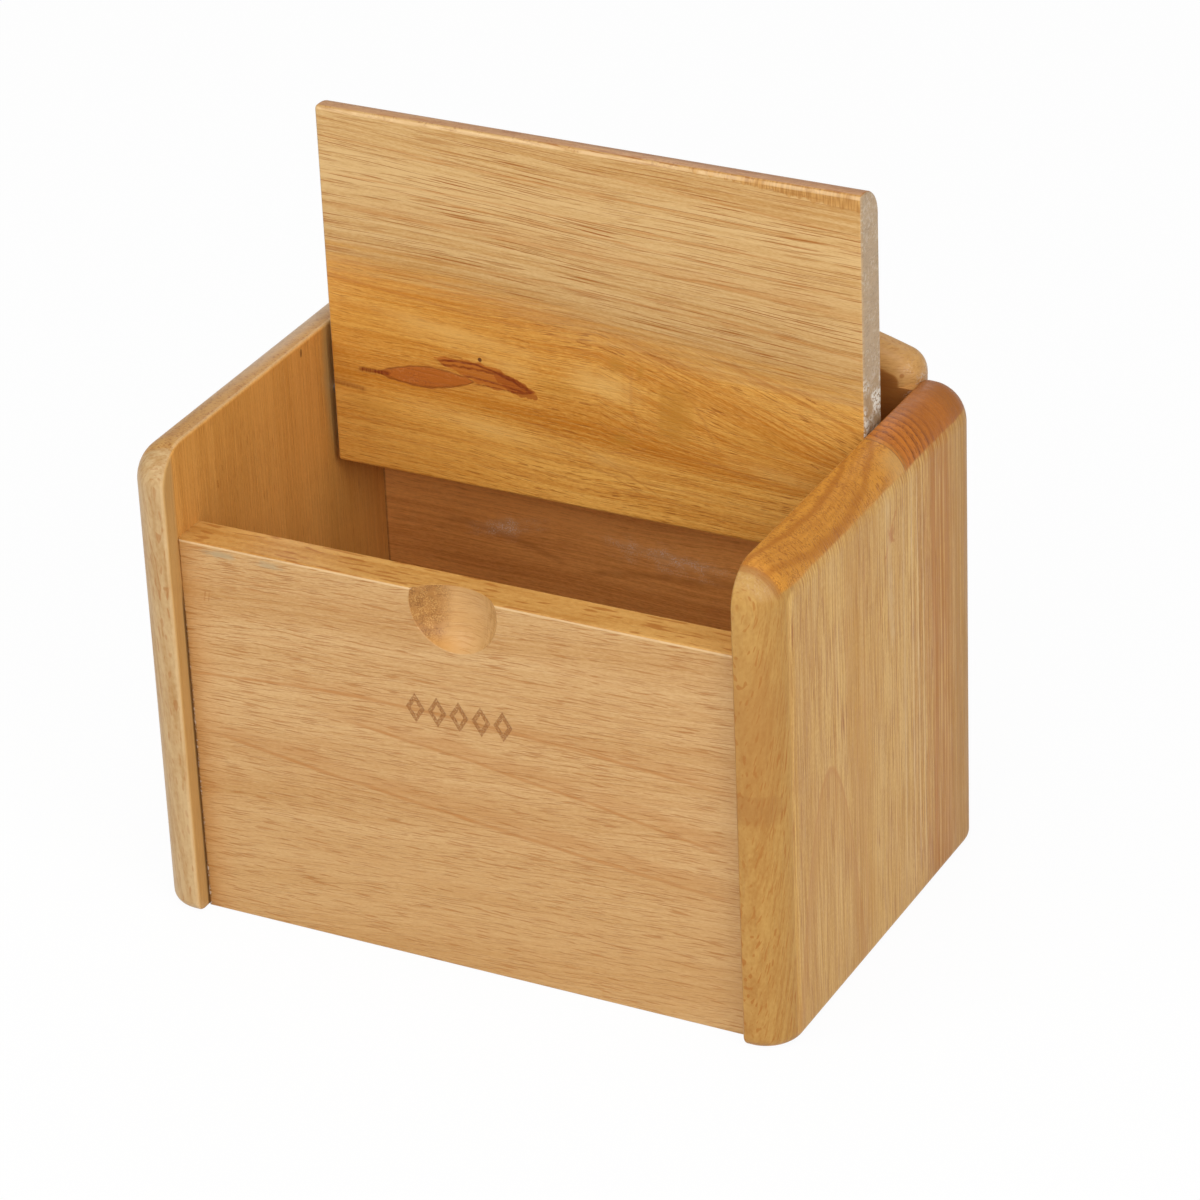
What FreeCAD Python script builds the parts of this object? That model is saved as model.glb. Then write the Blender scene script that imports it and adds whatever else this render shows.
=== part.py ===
"""Salt box of hardwood boards with a lid that swings on two hidden pins.

Millimetres, +Z up, the front facing -Y, the origin under the middle of the box.
The lid is drawn standing upright, as the box is used.
"""
import FreeCAD
import Part
import Sketcher
import os

# How close two points count as the same when faces and edges are picked.
NEAR = 1e-4

SIZES = (
    ("inner_width", 150.0, "clear width between the two sides"),
    ("side_thick", 11.5, "thickness of the side boards"),
    ("side_depth", 115.6, "depth of a side, front edge to rear edge"),
    ("side_height", 127.6, "height of a side"),
    ("front_board_share", 0.6315, "share of the right side's depth in front of its glue line"),
    ("side_corner_round", 10.3, "rounding of a side's two upper corners, seen from the side"),
    ("side_edge_round", 9.6, "rounding of a side's outer edges"),
    ("foot_round", 2.8, "rounding of a side's lower outer edge"),
    ("inner_edge_round", 0.8, "easing of a side's inner edges"),
    ("front_recess", 4.5, "front panel's face behind the sides' front edges"),
    ("front_thick", 10.4, "thickness of the front panel"),
    ("front_drop", 24.0, "front panel's top below the sides' tops"),
    ("panel_edge_round", 0.6, "easing of the front and base panels' edges"),
    ("scoop_rim_radius", 11.9, "radius of the finger scoop on the front face"),
    ("scoop_depth", 5.5, "depth of the finger scoop"),
    ("scoop_drop", 3.7, "middle of the finger scoop below the front panel's top"),
    ("back_thick", 12.8, "thickness of the back panel"),
    ("crown_rise", 17.3, "middle of the back panel's arch above the sides' tops"),
    ("crown_radius", 232.0, "radius of the back panel's arch"),
    ("back_corner_round", 6.4, "rounding of the arch's two ends"),
    ("back_edge_round", 5.8, "rounding of the arch's front and rear edges"),
    ("back_edge_fade", 4.0, "height over which that rounding runs out at the rear of the ends"),
    ("base_thick", 10.0, "thickness of the base panel"),
    ("base_lift", 1.5, "base panel's underside above the table"),
    ("lid_thick", 9.8, "thickness of the lid"),
    ("lid_tail", 18.3, "length of the lid behind its pins"),
    ("lid_end_gap", 1.8, "gap at each end of the lid"),
    ("lid_seat_gap", 0.3, "gap between the closed lid and the front panel"),
    ("lid_back_gap", 1.4, "gap between the closed lid and the back panel"),
    ("lid_nose_round", 7.5, "rounding of the lid's upper front edge"),
    ("lid_edge_round", 1.0, "rounding of the lid's other long edges"),
    ("lid_end_round", 0.8, "easing around the lid's ends"),
    ("pin_diameter", 4.0, "diameter of a hinge pin"),
    ("pin_side_depth", 8.0, "length of a hinge pin inside the side"),
    ("pin_lid_depth", 10.0, "length of a hinge pin inside the lid"),
    ("pin_seat_clearance", 0.02, "radial clearance of a pin in the side"),
    ("pin_running_clearance", 0.08, "radial clearance of a pin in the lid"),
    ("dowel_diameter", 6.0, "diameter of a dowel"),
    ("dowel_side_depth", 6.0, "length of a dowel inside the side"),
    ("dowel_panel_depth", 14.0, "length of a dowel inside a panel"),
    ("dowel_inset", 22.0, "front and back panels' dowels from the ends of their edge"),
    ("base_dowel_inset", 14.0, "base panel's dowels from the ends of its edge"),
    ("dowel_glue_gap", 0.05, "radial gap around a dowel, for glue"),
    ("bore_end_gap", 0.4, "spare depth of a bore past its pin or dowel"),
    ("pin_chamfer", 0.6, "chamfer on the ends of pins and dowels"),
)

doc = FreeCAD.newDocument("SaltBox")
sheet = doc.addObject("Spreadsheet::Sheet", "box")
for row, (alias, value, note) in enumerate(SIZES, start=1):
    sheet.set(f"A{row}", note)
    sheet.set(f"B{row}", str(value))
    sheet.setAlias(f"B{row}", alias)
doc.recompute()

# Places that several pieces share, as expressions of the sheet's sizes.
FRONT_Y = "(-box.side_depth / 2)"
INNER_X = "(box.inner_width / 2)"
GLUE_Y = f"({FRONT_Y} + box.front_board_share * box.side_depth)"
FRONT_FACE_Y = f"({FRONT_Y} + box.front_recess)"
FRONT_BACK_Y = f"({FRONT_FACE_Y} + box.front_thick)"
REAR_Y = "(box.side_depth / 2)"
BACK_FACE_Y = f"({REAR_Y} - box.back_thick)"
PIVOT_Y = f"({BACK_FACE_Y} - box.lid_back_gap - box.lid_tail)"
FRONT_TOP_Z = "(box.side_height - box.front_drop)"
CROWN_Z = "(box.side_height + box.crown_rise)"
PIVOT_Z = f"({FRONT_TOP_Z} + box.lid_seat_gap + box.lid_thick / 2)"
LID_HALF_WIDTH = f"({INNER_X} - box.lid_end_gap)"
# The closed lid ends flush with the front panel's face.
LID_LENGTH = f"({PIVOT_Y} + box.lid_tail - {FRONT_FACE_Y})"
BASE_MID_Z = "(box.base_lift + box.base_thick / 2)"

# Where the dowels stand in the sides: name, Y and Z of the dowel's axis.
DOWELS = (
    ("front_lower", f"{FRONT_FACE_Y} + box.front_thick / 2", "box.dowel_inset"),
    ("front_upper", f"{FRONT_FACE_Y} + box.front_thick / 2", f"{FRONT_TOP_Z} - box.dowel_inset"),
    ("back_lower", f"{BACK_FACE_Y} + box.back_thick / 2", "box.dowel_inset"),
    ("back_upper", f"{BACK_FACE_Y} + box.back_thick / 2", "box.side_height - box.dowel_inset"),
    ("base_front", f"{FRONT_BACK_Y} + box.base_dowel_inset", BASE_MID_Z),
    ("base_rear", f"{BACK_FACE_Y} - box.base_dowel_inset", BASE_MID_Z),
)
SIDES = (("left", -1), ("right", 1))
# The left side is one board, and the right side is two boards glued edge to edge.
SIDE_BOARDS = (
    ("left_side", -1, FRONT_Y, REAR_Y),
    ("right_side_front_board", 1, FRONT_Y, GLUE_Y),
    ("right_side_rear_board", 1, GLUE_Y, REAR_Y),
)


def size(expression):
    """Value of an expression of the sheet's sizes."""
    return float(sheet.evalExpression(expression))


def new_body(name):
    """Empty body for one piece."""
    body = doc.addObject("PartDesign::Body", name)
    body.Label = name
    return body


def new_sketch(body, name, role, across="0", up="0", out="0"):
    """Sketch on one of the body's origin planes, shifted in the plane and off it."""
    plane = next(f for f in body.Origin.OriginFeatures if f.Role == role)
    sketch = body.newObject("Sketcher::SketchObject", f"{body.Name}_{name}")
    sketch.AttachmentSupport = (plane, [""])
    sketch.MapMode = "FlatFace"
    sketch.setExpression("AttachmentOffset.Base.x", across)
    sketch.setExpression("AttachmentOffset.Base.y", up)
    sketch.setExpression("AttachmentOffset.Base.z", out)
    return sketch


def constrain(sketch, expression, kind, *places):
    """Add a dimension to a sketch and bind it to the sheet."""
    index = sketch.addConstraint(Sketcher.Constraint(kind, *places, size(expression)))
    sketch.setExpression(f"Constraints[{index}]", expression)


def draw_rectangle(sketch, width, height):
    """Rectangle with its lower left corner on the sketch's origin."""
    wide, high = size(width), size(height)
    corners = [FreeCAD.Vector(x, y) for x, y in ((0, 0), (wide, 0), (wide, high), (0, high))]
    for start, end in zip(corners, corners[1:] + corners[:1]):
        sketch.addGeometry(Part.LineSegment(start, end))
    for line in range(4):
        sketch.addConstraint(Sketcher.Constraint("Coincident", line, 2, (line + 1) % 4, 1))
    for line, way in enumerate(("Horizontal", "Vertical", "Horizontal", "Vertical")):
        sketch.addConstraint(Sketcher.Constraint(way, line))
    sketch.addConstraint(Sketcher.Constraint("Coincident", 0, 1, -1, 1))
    constrain(sketch, width, "DistanceX", 0, 1, 0, 2)
    constrain(sketch, height, "DistanceY", 1, 1, 1, 2)


def draw_polygon(sketch, points):
    """Closed outline through points that are measured from the sketch's origin."""
    corners = [FreeCAD.Vector(size(across), size(up)) for across, up in points]
    for start, end in zip(corners, corners[1:] + corners[:1]):
        sketch.addGeometry(Part.LineSegment(start, end))
    for line, (across, up) in enumerate(points):
        sketch.addConstraint(Sketcher.Constraint("Coincident", line, 2, (line + 1) % len(points), 1))
        constrain(sketch, across, "DistanceX", -1, 1, line, 1)
        constrain(sketch, up, "DistanceY", -1, 1, line, 1)


def draw_circle(sketch, across, up, radius):
    """Circle at a place that is measured from the sketch's origin."""
    centre = FreeCAD.Vector(size(across), size(up))
    circle = sketch.addGeometry(Part.Circle(centre, FreeCAD.Vector(0, 0, 1), size(radius)))
    constrain(sketch, radius, "Radius", circle)
    constrain(sketch, across, "DistanceX", -1, 1, circle, 3)
    constrain(sketch, up, "DistanceY", -1, 1, circle, 3)


def pad(body, sketch, length, reverse=False):
    """Raise a sketch into a solid."""
    feature = body.newObject("PartDesign::Pad", f"{sketch.Name}_pad")
    feature.Profile = sketch
    feature.Reversed = reverse
    feature.setExpression("Length", length)
    doc.recompute()
    return feature


def pocket(body, sketch, depth, reverse=False):
    """Cut a sketch into the body, and make sure that it took something away."""
    before = body.Shape.Volume
    feature = body.newObject("PartDesign::Pocket", f"{sketch.Name}_pocket")
    feature.Profile = sketch
    feature.Reversed = reverse
    feature.setExpression("Length", depth)
    doc.recompute()
    if not body.Shape.Volume < before:
        raise RuntimeError(f"{feature.Name} cuts nothing")
    return feature


def marks(edge):
    """Three points along an edge, enough to tell which plane it lies in."""
    middle = edge.valueAt((edge.FirstParameter + edge.LastParameter) / 2)
    return [vertex.Point for vertex in edge.Vertexes] + [middle]


def lies(edge, axis, place):
    """Whether an edge lies in the plane at this place on an axis."""
    return all(abs(getattr(point, axis) - place) < NEAR for point in marks(edge))


def ease(body, name, radius, wanted, kind="Fillet"):
    """Round or chamfer those edges of the body that the test picks."""
    base = body.Tip
    picked = [f"Edge{n}" for n, edge in enumerate(base.Shape.Edges, start=1) if wanted(edge)]
    if not picked:
        raise RuntimeError(f"{body.Name} has no edges for {name}")
    feature = body.newObject(f"PartDesign::{kind}", f"{body.Name}_{name}")
    feature.Base = (base, picked)
    feature.setExpression("Radius" if kind == "Fillet" else "Size", radius)
    doc.recompute()
    return feature


def round_bar(name, y, z, start, length, radius):
    """Pin or dowel along X with chamfered ends."""
    body = new_body(name)
    sketch = new_sketch(body, "section", "YZ_Plane", y, z, start)
    draw_circle(sketch, "0", "0", radius)
    pad(body, sketch, length)
    ends = (size(start), size(f"{start} + {length}"))
    ease(body, "ends", "box.pin_chamfer", lambda e: any(lies(e, "x", end) for end in ends), "Chamfer")
    return body


def side_board(name, sign, near_y, far_y):
    """Board of a side: rounded outside, bored inside for its dowels and hinge pin."""
    body = new_body(name)
    inner = f"({sign} * {INNER_X})"
    outline = new_sketch(body, "outline", "YZ_Plane", near_y, "0", inner)
    draw_rectangle(outline, f"{far_y} - {near_y}", "box.side_height")
    pad(body, outline, "box.side_thick", reverse=sign < 0)

    free_ends = [size(end) for end in (near_y, far_y) if end != GLUE_Y]
    glue_y = size(GLUE_Y)
    inner_x = size(inner)
    outer_x = size(f"{sign} * ({INNER_X} + box.side_thick)")
    top_z = size("box.side_height")

    def at_glue(edge):
        return lies(edge, "y", glue_y)

    ease(body, "corners", "box.side_corner_round",
         lambda e: lies(e, "z", top_z) and any(lies(e, "y", end) for end in free_ends))
    ease(body, "outer_edge", "box.side_edge_round",
         lambda e: lies(e, "x", outer_x) and not lies(e, "z", 0) and not at_glue(e))
    ease(body, "foot", "box.foot_round",
         lambda e: lies(e, "z", 0) and not lies(e, "x", inner_x) and not at_glue(e))
    ease(body, "inner_edge", "box.inner_edge_round",
         lambda e: lies(e, "x", inner_x) and not lies(e, "z", 0) and not at_glue(e))

    bores = new_sketch(body, "dowel_bores", "YZ_Plane", "0", "0", inner)
    for _, y, z in DOWELS:
        if size(near_y) < size(y) < size(far_y):
            draw_circle(bores, y, z, "box.dowel_diameter / 2 + box.dowel_glue_gap")
    pocket(body, bores, "box.dowel_side_depth + box.bore_end_gap", reverse=sign > 0)
    if size(near_y) < size(PIVOT_Y) < size(far_y):
        pivot = new_sketch(body, "pin_bore", "YZ_Plane", "0", "0", inner)
        draw_circle(pivot, PIVOT_Y, PIVOT_Z, "box.pin_diameter / 2 + box.pin_seat_clearance")
        pocket(body, pivot, "box.pin_side_depth + box.bore_end_gap", reverse=sign > 0)
    return body


def bore_panel_ends(body, family):
    """Dowel bores in both ends of a panel that stands between the sides."""
    for hand, sign in SIDES:
        bores = new_sketch(body, f"{hand}_bores", "YZ_Plane", "0", "0", f"{sign} * {INNER_X}")
        for name, y, z in DOWELS:
            if name.startswith(family):
                draw_circle(bores, y, z, "box.dowel_diameter / 2 + box.dowel_glue_gap")
        pocket(body, bores, "box.dowel_panel_depth + box.bore_end_gap", reverse=sign < 0)


def front_panel():
    """Front panel between the sides, with the finger scoop in its upper edge."""
    body = new_body("front_panel")
    outline = new_sketch(body, "outline", "XZ_Plane", f"-{INNER_X}", "0", f"-{FRONT_BACK_Y}")
    draw_rectangle(outline, "box.inner_width", FRONT_TOP_Z)
    pad(body, outline, "box.front_thick")
    face_y = size(FRONT_FACE_Y)
    back_y = size(FRONT_BACK_Y)
    top_z = size(FRONT_TOP_Z)
    ease(body, "edges", "box.panel_edge_round",
         lambda e: lies(e, "y", face_y) or (lies(e, "y", back_y) and lies(e, "z", top_z)))

    radius = "((box.scoop_rim_radius ^ 2 + box.scoop_depth ^ 2) / (2 * box.scoop_depth))"
    before = body.Shape.Volume
    scoop = body.newObject("PartDesign::SubtractiveSphere", "front_panel_scoop")
    scoop.setExpression("Radius", radius)
    scoop.setExpression("Placement.Base.y", f"{FRONT_FACE_Y} + box.scoop_depth - {radius}")
    scoop.setExpression("Placement.Base.z", f"{FRONT_TOP_Z} - box.scoop_drop")
    doc.recompute()
    if not body.Shape.Volume < before:
        raise RuntimeError("the finger scoop cuts nothing")
    bore_panel_ends(body, "front")
    return body


def back_panel():
    """Back panel between the sides: arched and rounded on top, square below."""
    body = new_body("back_panel")
    outline = new_sketch(body, "outline", "XZ_Plane", "0", "0", f"-{REAR_Y}")
    end_height = f"{CROWN_Z} - box.crown_radius + sqrt(box.crown_radius ^ 2 - {INNER_X} ^ 2)"
    half, high, crown = size(INNER_X), size(end_height), size(CROWN_Z)
    left_foot, right_foot = FreeCAD.Vector(-half, 0), FreeCAD.Vector(half, 0)
    left_end, right_end = FreeCAD.Vector(-half, high), FreeCAD.Vector(half, high)
    foot = outline.addGeometry(Part.LineSegment(left_foot, right_foot))
    right = outline.addGeometry(Part.LineSegment(right_foot, right_end))
    arch = outline.addGeometry(Part.Arc(right_end, FreeCAD.Vector(0, crown), left_end))
    left = outline.addGeometry(Part.LineSegment(left_end, left_foot))
    for one, other in (((foot, 2), (right, 1)), ((right, 2), (arch, 1)),
                       ((arch, 2), (left, 1)), ((left, 2), (foot, 1))):
        outline.addConstraint(Sketcher.Constraint("Coincident", *one, *other))
    outline.addConstraint(Sketcher.Constraint("PointOnObject", foot, 1, -1))
    outline.addConstraint(Sketcher.Constraint("Symmetric", foot, 1, foot, 2, -1, 1))
    outline.addConstraint(Sketcher.Constraint("Vertical", left))
    outline.addConstraint(Sketcher.Constraint("Vertical", right))
    outline.addConstraint(Sketcher.Constraint("Equal", left, right))
    constrain(outline, "box.inner_width", "DistanceX", foot, 1, foot, 2)
    constrain(outline, end_height, "DistanceY", right, 1, right, 2)
    constrain(outline, "box.crown_radius", "Radius", arch)
    pad(body, outline, "box.back_thick")

    face_y, rear_y = size(BACK_FACE_Y), size(REAR_Y)
    ease(body, "arch_ends", "box.back_corner_round",
         lambda e: all(abs(abs(p.x) - half) < NEAR and abs(p.z - high) < NEAR for p in marks(e)))
    ease(body, "arch_edges", "box.back_edge_round",
         lambda e: (lies(e, "y", face_y) or lies(e, "y", rear_y)) and marks(e)[-1].z > high)
    # Behind, the rounding runs out where the sides' corners begin.
    # In front, the ends are square up to the foot of the rounding.
    square = new_sketch(body, "square_edges", "XZ_Plane", f"-{INNER_X}", "0", f"-{REAR_Y}")
    shoulder = "box.side_height - box.side_corner_round"
    draw_polygon(square, (
        ("0", "0"), ("box.inner_width", "0"), ("box.inner_width", shoulder),
        ("box.inner_width - box.back_edge_round", f"{shoulder} + box.back_edge_fade"),
        ("box.back_edge_round", f"{shoulder} + box.back_edge_fade"), ("0", shoulder)))
    pad(body, square, "box.back_thick")
    middle_y = f"({REAR_Y} - box.back_thick / 2)"
    front = new_sketch(body, "front_edges", "XZ_Plane", f"-{INNER_X}", "0", f"-{middle_y}")
    draw_rectangle(front, "box.inner_width", f"{end_height} - box.back_edge_round")
    pad(body, front, "box.back_thick / 2")
    bore_panel_ends(body, "back")
    return body


def base_panel():
    """Floor of the box, between the front, the back and the sides."""
    body = new_body("base_panel")
    outline = new_sketch(body, "outline", "XY_Plane", f"-{INNER_X}", FRONT_BACK_Y, "box.base_lift")
    draw_rectangle(outline, "box.inner_width", f"{BACK_FACE_Y} - {FRONT_BACK_Y}")
    pad(body, outline, "box.base_thick")
    low_z = size("box.base_lift")
    ease(body, "edges", "box.panel_edge_round", lambda e: lies(e, "z", low_z))
    bore_panel_ends(body, "base")
    return body


def lid():
    """Lid standing upright, its underside facing the front."""
    body = new_body("lid")
    low_z = f"({PIVOT_Z} - box.lid_tail)"
    rear_y = f"({PIVOT_Y} + box.lid_thick / 2)"
    outline = new_sketch(body, "outline", "XZ_Plane", f"-{LID_HALF_WIDTH}", low_z, f"-{rear_y}")
    draw_rectangle(outline, f"2 * {LID_HALF_WIDTH}", LID_LENGTH)
    pad(body, outline, "box.lid_thick")
    outer_y = size(rear_y)
    under_y = size(f"{PIVOT_Y} - box.lid_thick / 2")
    tail_z = size(low_z)
    nose_z = size(f"{low_z} + {LID_LENGTH}")
    end_x = size(LID_HALF_WIDTH)
    ease(body, "nose", "box.lid_nose_round", lambda e: lies(e, "y", outer_y) and lies(e, "z", nose_z))
    ease(body, "long_edges", "box.lid_edge_round",
         lambda e: lies(e, "z", tail_z) and not lies(e, "x", end_x) and not lies(e, "x", -end_x)
         or lies(e, "y", under_y) and lies(e, "z", nose_z))
    ease(body, "ends", "box.lid_end_round", lambda e: lies(e, "x", end_x) or lies(e, "x", -end_x))
    for hand, sign in SIDES:
        bore = new_sketch(body, f"{hand}_bore", "YZ_Plane", "0", "0", f"{sign} * {LID_HALF_WIDTH}")
        draw_circle(bore, PIVOT_Y, PIVOT_Z, "box.pin_diameter / 2 + box.pin_running_clearance")
        pocket(body, bore, "box.pin_lid_depth + box.bore_end_gap", reverse=sign < 0)
    return body


pieces = [front_panel(), back_panel(), base_panel(), lid()]
for name, sign, near_y, far_y in SIDE_BOARDS:
    pieces.append(side_board(name, sign, near_y, far_y))
for hand, sign in SIDES:
    pin_length = "(box.pin_side_depth + box.lid_end_gap + box.pin_lid_depth)"
    pin_start = (f"-{INNER_X} - box.pin_side_depth" if sign < 0
                 else f"{LID_HALF_WIDTH} - box.pin_lid_depth")
    pieces.append(round_bar(f"{hand}_hinge_pin", PIVOT_Y, PIVOT_Z,
                            pin_start, pin_length, "box.pin_diameter / 2"))
    dowel_length = "(box.dowel_side_depth + box.dowel_panel_depth)"
    dowel_start = (f"-{INNER_X} - box.dowel_side_depth" if sign < 0
                   else f"{INNER_X} - box.dowel_panel_depth")
    for name, y, z in DOWELS:
        pieces.append(round_bar(f"{hand}_{name}_dowel", y, z,
                                dowel_start, dowel_length, "box.dowel_diameter / 2"))

doc.recompute()
faults = [item.Name for item in doc.Objects if "Invalid" in item.State or "Error" in item.State]
faults += [piece.Label for piece in pieces
           if piece.Shape.isNull() or not piece.Shape.isValid() or len(piece.Shape.Solids) != 1]
if faults:
    raise RuntimeError("failed: " + ", ".join(faults))

os.makedirs("parts", exist_ok=True)
for piece in pieces:
    piece.Shape.exportStep(f"parts/{piece.Label}.step")
    print(piece.Label, round(piece.Shape.Volume), "mm3")
whole = Part.makeCompound([piece.Shape for piece in pieces]).BoundBox
print("size", round(whole.XLength, 2), round(whole.YLength, 2), round(whole.ZLength, 2))
print("pivot", round(size(PIVOT_Y), 3), round(size(PIVOT_Z), 3))
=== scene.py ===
import math

import bmesh
import bpy
from bpy.props import FloatProperty, FloatVectorProperty, PointerProperty
from mathutils import Matrix, Vector

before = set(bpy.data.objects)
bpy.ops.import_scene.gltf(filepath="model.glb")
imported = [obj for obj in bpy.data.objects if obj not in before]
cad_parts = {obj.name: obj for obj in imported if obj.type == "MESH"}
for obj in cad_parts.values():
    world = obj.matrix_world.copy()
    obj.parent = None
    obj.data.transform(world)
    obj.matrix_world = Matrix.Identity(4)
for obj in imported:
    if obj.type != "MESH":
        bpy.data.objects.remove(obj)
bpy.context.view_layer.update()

bl_info = {
    "name": "Salt box",
    "version": (1, 0, 0),
    "blender": (4, 5, 0),
    "location": "View3D > Sidebar > Salt box",
    "description": "Wood finishes, stage, light and camera of the salt box",
    "category": "Object",
}

MM_PER_M = 1000.0

# The camera's place in metres and its axes, at the photograph's viewing angle.
CAMERA_PLACE = (0.53740378, -0.97984646, 0.67756120)
CAMERA_RIGHT = (0.88990059, 0.45450223, -0.03878993)
CAMERA_DOWN = (0.18550671, -0.43827693, -0.87948883)
CAMERA_FORWARD = (-0.41673037, 0.77546183, -0.47433611)
CAMERA_LENS = 155.4549
CAMERA_SENSOR = 36.0

DOWELS = tuple(
    f"{side}_{place}_dowel"
    for side in ("left", "right")
    for place in ("front_lower", "front_upper", "back_lower", "back_upper", "base_front", "base_rear")
)
PINS = ("left_hinge_pin", "right_hinge_pin")


def extent(name, axis):
    """The lowest and highest place of a CAD node along an axis, in millimetres."""
    places = [vertex.co["xyz".index(axis)] * MM_PER_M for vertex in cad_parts[name].data.vertices]
    return min(places), max(places)


# Planes of the box in millimetres, taken from the CAD pieces.
INNER_X, OUTER_X = extent("right_side_front_board", "x")
SIDE_FRONT_Y, GLUE_Y = extent("right_side_front_board", "y")
SIDE_TOP_Z = extent("right_side_front_board", "z")[1]
FRONT_Y = extent("front_panel", "y")[0]
FRONT_TOP_Z = extent("front_panel", "z")[1]
BACK_Y, REAR_Y = extent("back_panel", "y")
LID_X = extent("lid", "x")[1]
LID_Y = extent("lid", "y")[0]
LID_TOP_Z = extent("lid", "z")[1]

# The step between the seeds of two marks of a board.
SEED_STEP = 3.7

# The burnt ornament: its number of lozenges and its middle along X and Z, in millimetres.
LOZENGES = 5
ORNAMENT_PLACE = (0.1, 70.8)

# Middles of the growth rings in the end grain, as places along, across and through the board.
SIDE_RING_CENTRE = (0.0, -24.0, -17.4)
REAR_RING_CENTRE = (0.0, -60.0, 66.0)
LEFT_RING_CENTRE = (0.0, -30.0, -12.0)
LID_RING_CENTRE = (0.0, 60.0, 25.0)

# The scoop's reach to each side of the middle and the height of its foot.
SCOOP_REACH_X = 12.6
SCOOP_FOOT_Z = 88.0

# The flame in the grain of the right side's outer face: its peak along Y and Z.
FLAME_PEAK = (-31.0, 64.5)

# Borders on the lid's face: height where the change starts and ends, and fall per millimetre of X.
AMBER_BORDER_Z = (147.0, 133.0)
AMBER_FALL = 0.09
HATCH_BORDER_Z = (189.2, 189.8)
HATCH_FALL = 0.085

# Lamps: name, place, diameter, and the setting that holds the power; lengths are in metres.
LAMPS = (
    ("key_light", (-0.74, -0.95, 0.90), 0.8, "key_power"),
    ("side_light", (1.07, -0.62, 0.79), 0.8, "side_power"),
    ("front_light", (0.35, -1.25, 0.80), 0.8, "front_power"),
    ("fill_light", (0.1, -0.25, 1.5), 1.0, "fill_power"),
    ("back_light", (-0.45, 1.25, 0.95), 0.8, "back_power"),
)
LAMP_TARGET = (0.0, 0.0, 0.09)
SKY_STRENGTH = 0.36
FLOOR_GLOW_SHARE = 0.95

# The colours of single marks follow; the main colours are settings of the panel.
# Front panel
FRONT_STREAK = (0.455, 0.20, 0.052)
FRONT_SMUDGE = (0.36, 0.29, 0.17)
FRONT_LOW_TINT = (0.49, 0.27, 0.085)
FRONT_LEFT_BOUNCE_SHADE = (0.50, 0.215, 0.05)
FRONT_LINE = (0.40, 0.165, 0.035)
FRONT_EDGE_FIBRE = (0.44, 0.185, 0.03)
FRONT_EDGE_SPECK = (0.36, 0.16, 0.035)
FRONT_ARRIS_HIGHLIGHT = (0.80, 0.58, 0.32)
SCOOP_WOOD = (0.60, 0.33, 0.115)
SCOOP_CUT = (0.42, 0.21, 0.06)
SCOOP_WALL_SHADE = (0.37, 0.155, 0.028)
SCOOP_DARK_SPECK = (0.20, 0.075, 0.012)
SCOOP_PALE_SPECK = (0.70, 0.41, 0.12)
SCOOP_FOOT = (0.55, 0.24, 0.035)
LEFT_JOINT_SHADE = (0.15, 0.055, 0.012)
RIGHT_JOINT_SHADE = (0.10, 0.04, 0.012)
# Right side, front board
SIDE_LINE = (0.43, 0.185, 0.035)
SIDE_BAND = (0.55, 0.27, 0.045)
SIDE_LOW_TINT = (0.54, 0.285, 0.05)
SIDE_FLAME = (0.48, 0.21, 0.035)
SIDE_KNOT = (0.42, 0.15, 0.018)
SIDE_PALE_STREAK = (0.74, 0.52, 0.26)
GOLD_FIBRE = (0.38, 0.17, 0.034)
GOLD_SHADE = (0.36, 0.155, 0.035)
GOLD_BLOT = (0.34, 0.14, 0.03)
INNER_FIBRE = (0.50, 0.20, 0.04)
SIDE_END_DARK = (0.36, 0.12, 0.018)
SIDE_END_SPECK = (0.34, 0.12, 0.015)
SIDE_END_RING = (0.39, 0.13, 0.015)
SIDE_END_PALE = (0.62, 0.36, 0.12)
CORNER_PALE = (0.50, 0.29, 0.10)
CORNER_LINE = (0.36, 0.14, 0.03)
GLUE_LINE = (0.16, 0.06, 0.02)
# Right side, rear board
REAR_LINE = (0.40, 0.16, 0.03)
REAR_BROWN = (0.42, 0.20, 0.035)
REAR_PALE_STREAK = (0.76, 0.54, 0.30)
REAR_END_DARK = (0.17, 0.04, 0.008)
REAR_END_PLAIN = (0.44, 0.145, 0.024)
REAR_END_FIBRE = (0.33, 0.095, 0.014)
REAR_END_EDGE = (0.55, 0.25, 0.05)
REAR_END_SHADE = (0.30, 0.11, 0.025)
# Left side
LEFT_EDGE_PALE = (0.56, 0.375, 0.18)
LEFT_EDGE_FIBRE = (0.43, 0.235, 0.08)
LEFT_INNER_FIBRE = (0.53, 0.235, 0.045)
LEFT_INNER_EDGE = (0.54, 0.30, 0.09)
LEFT_SMUDGE = (0.46, 0.33, 0.15)
LEFT_SPOT = (0.12, 0.045, 0.012)
LEFT_END = (0.52, 0.28, 0.085)
LEFT_END_DARK = (0.33, 0.13, 0.03)
LEFT_ARRIS_HIGHLIGHT = (0.76, 0.52, 0.26)
LEFT_JOINT_GAP_SHADE = (0.05, 0.018, 0.006)
# Back panel
ARCH_FIBRE = (0.50, 0.255, 0.075)
BACK_FIBRE = (0.50, 0.19, 0.04)
BACK_REAR_FIBRE = (0.47, 0.225, 0.06)
BACK_CORNER_SHADE = (0.19, 0.058, 0.012)
BACK_HIGH_SHADE = (0.42, 0.17, 0.035)
BACK_LEFT_STREAK = (0.30, 0.10, 0.02)
BACK_MIDDLE_STREAK = (0.32, 0.11, 0.022)
BACK_WISP = (0.66, 0.46, 0.28)
BACK_WISP_SPECK = (0.78, 0.68, 0.54)
BACK_JOINT_SHADE = (0.08, 0.025, 0.006)
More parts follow.
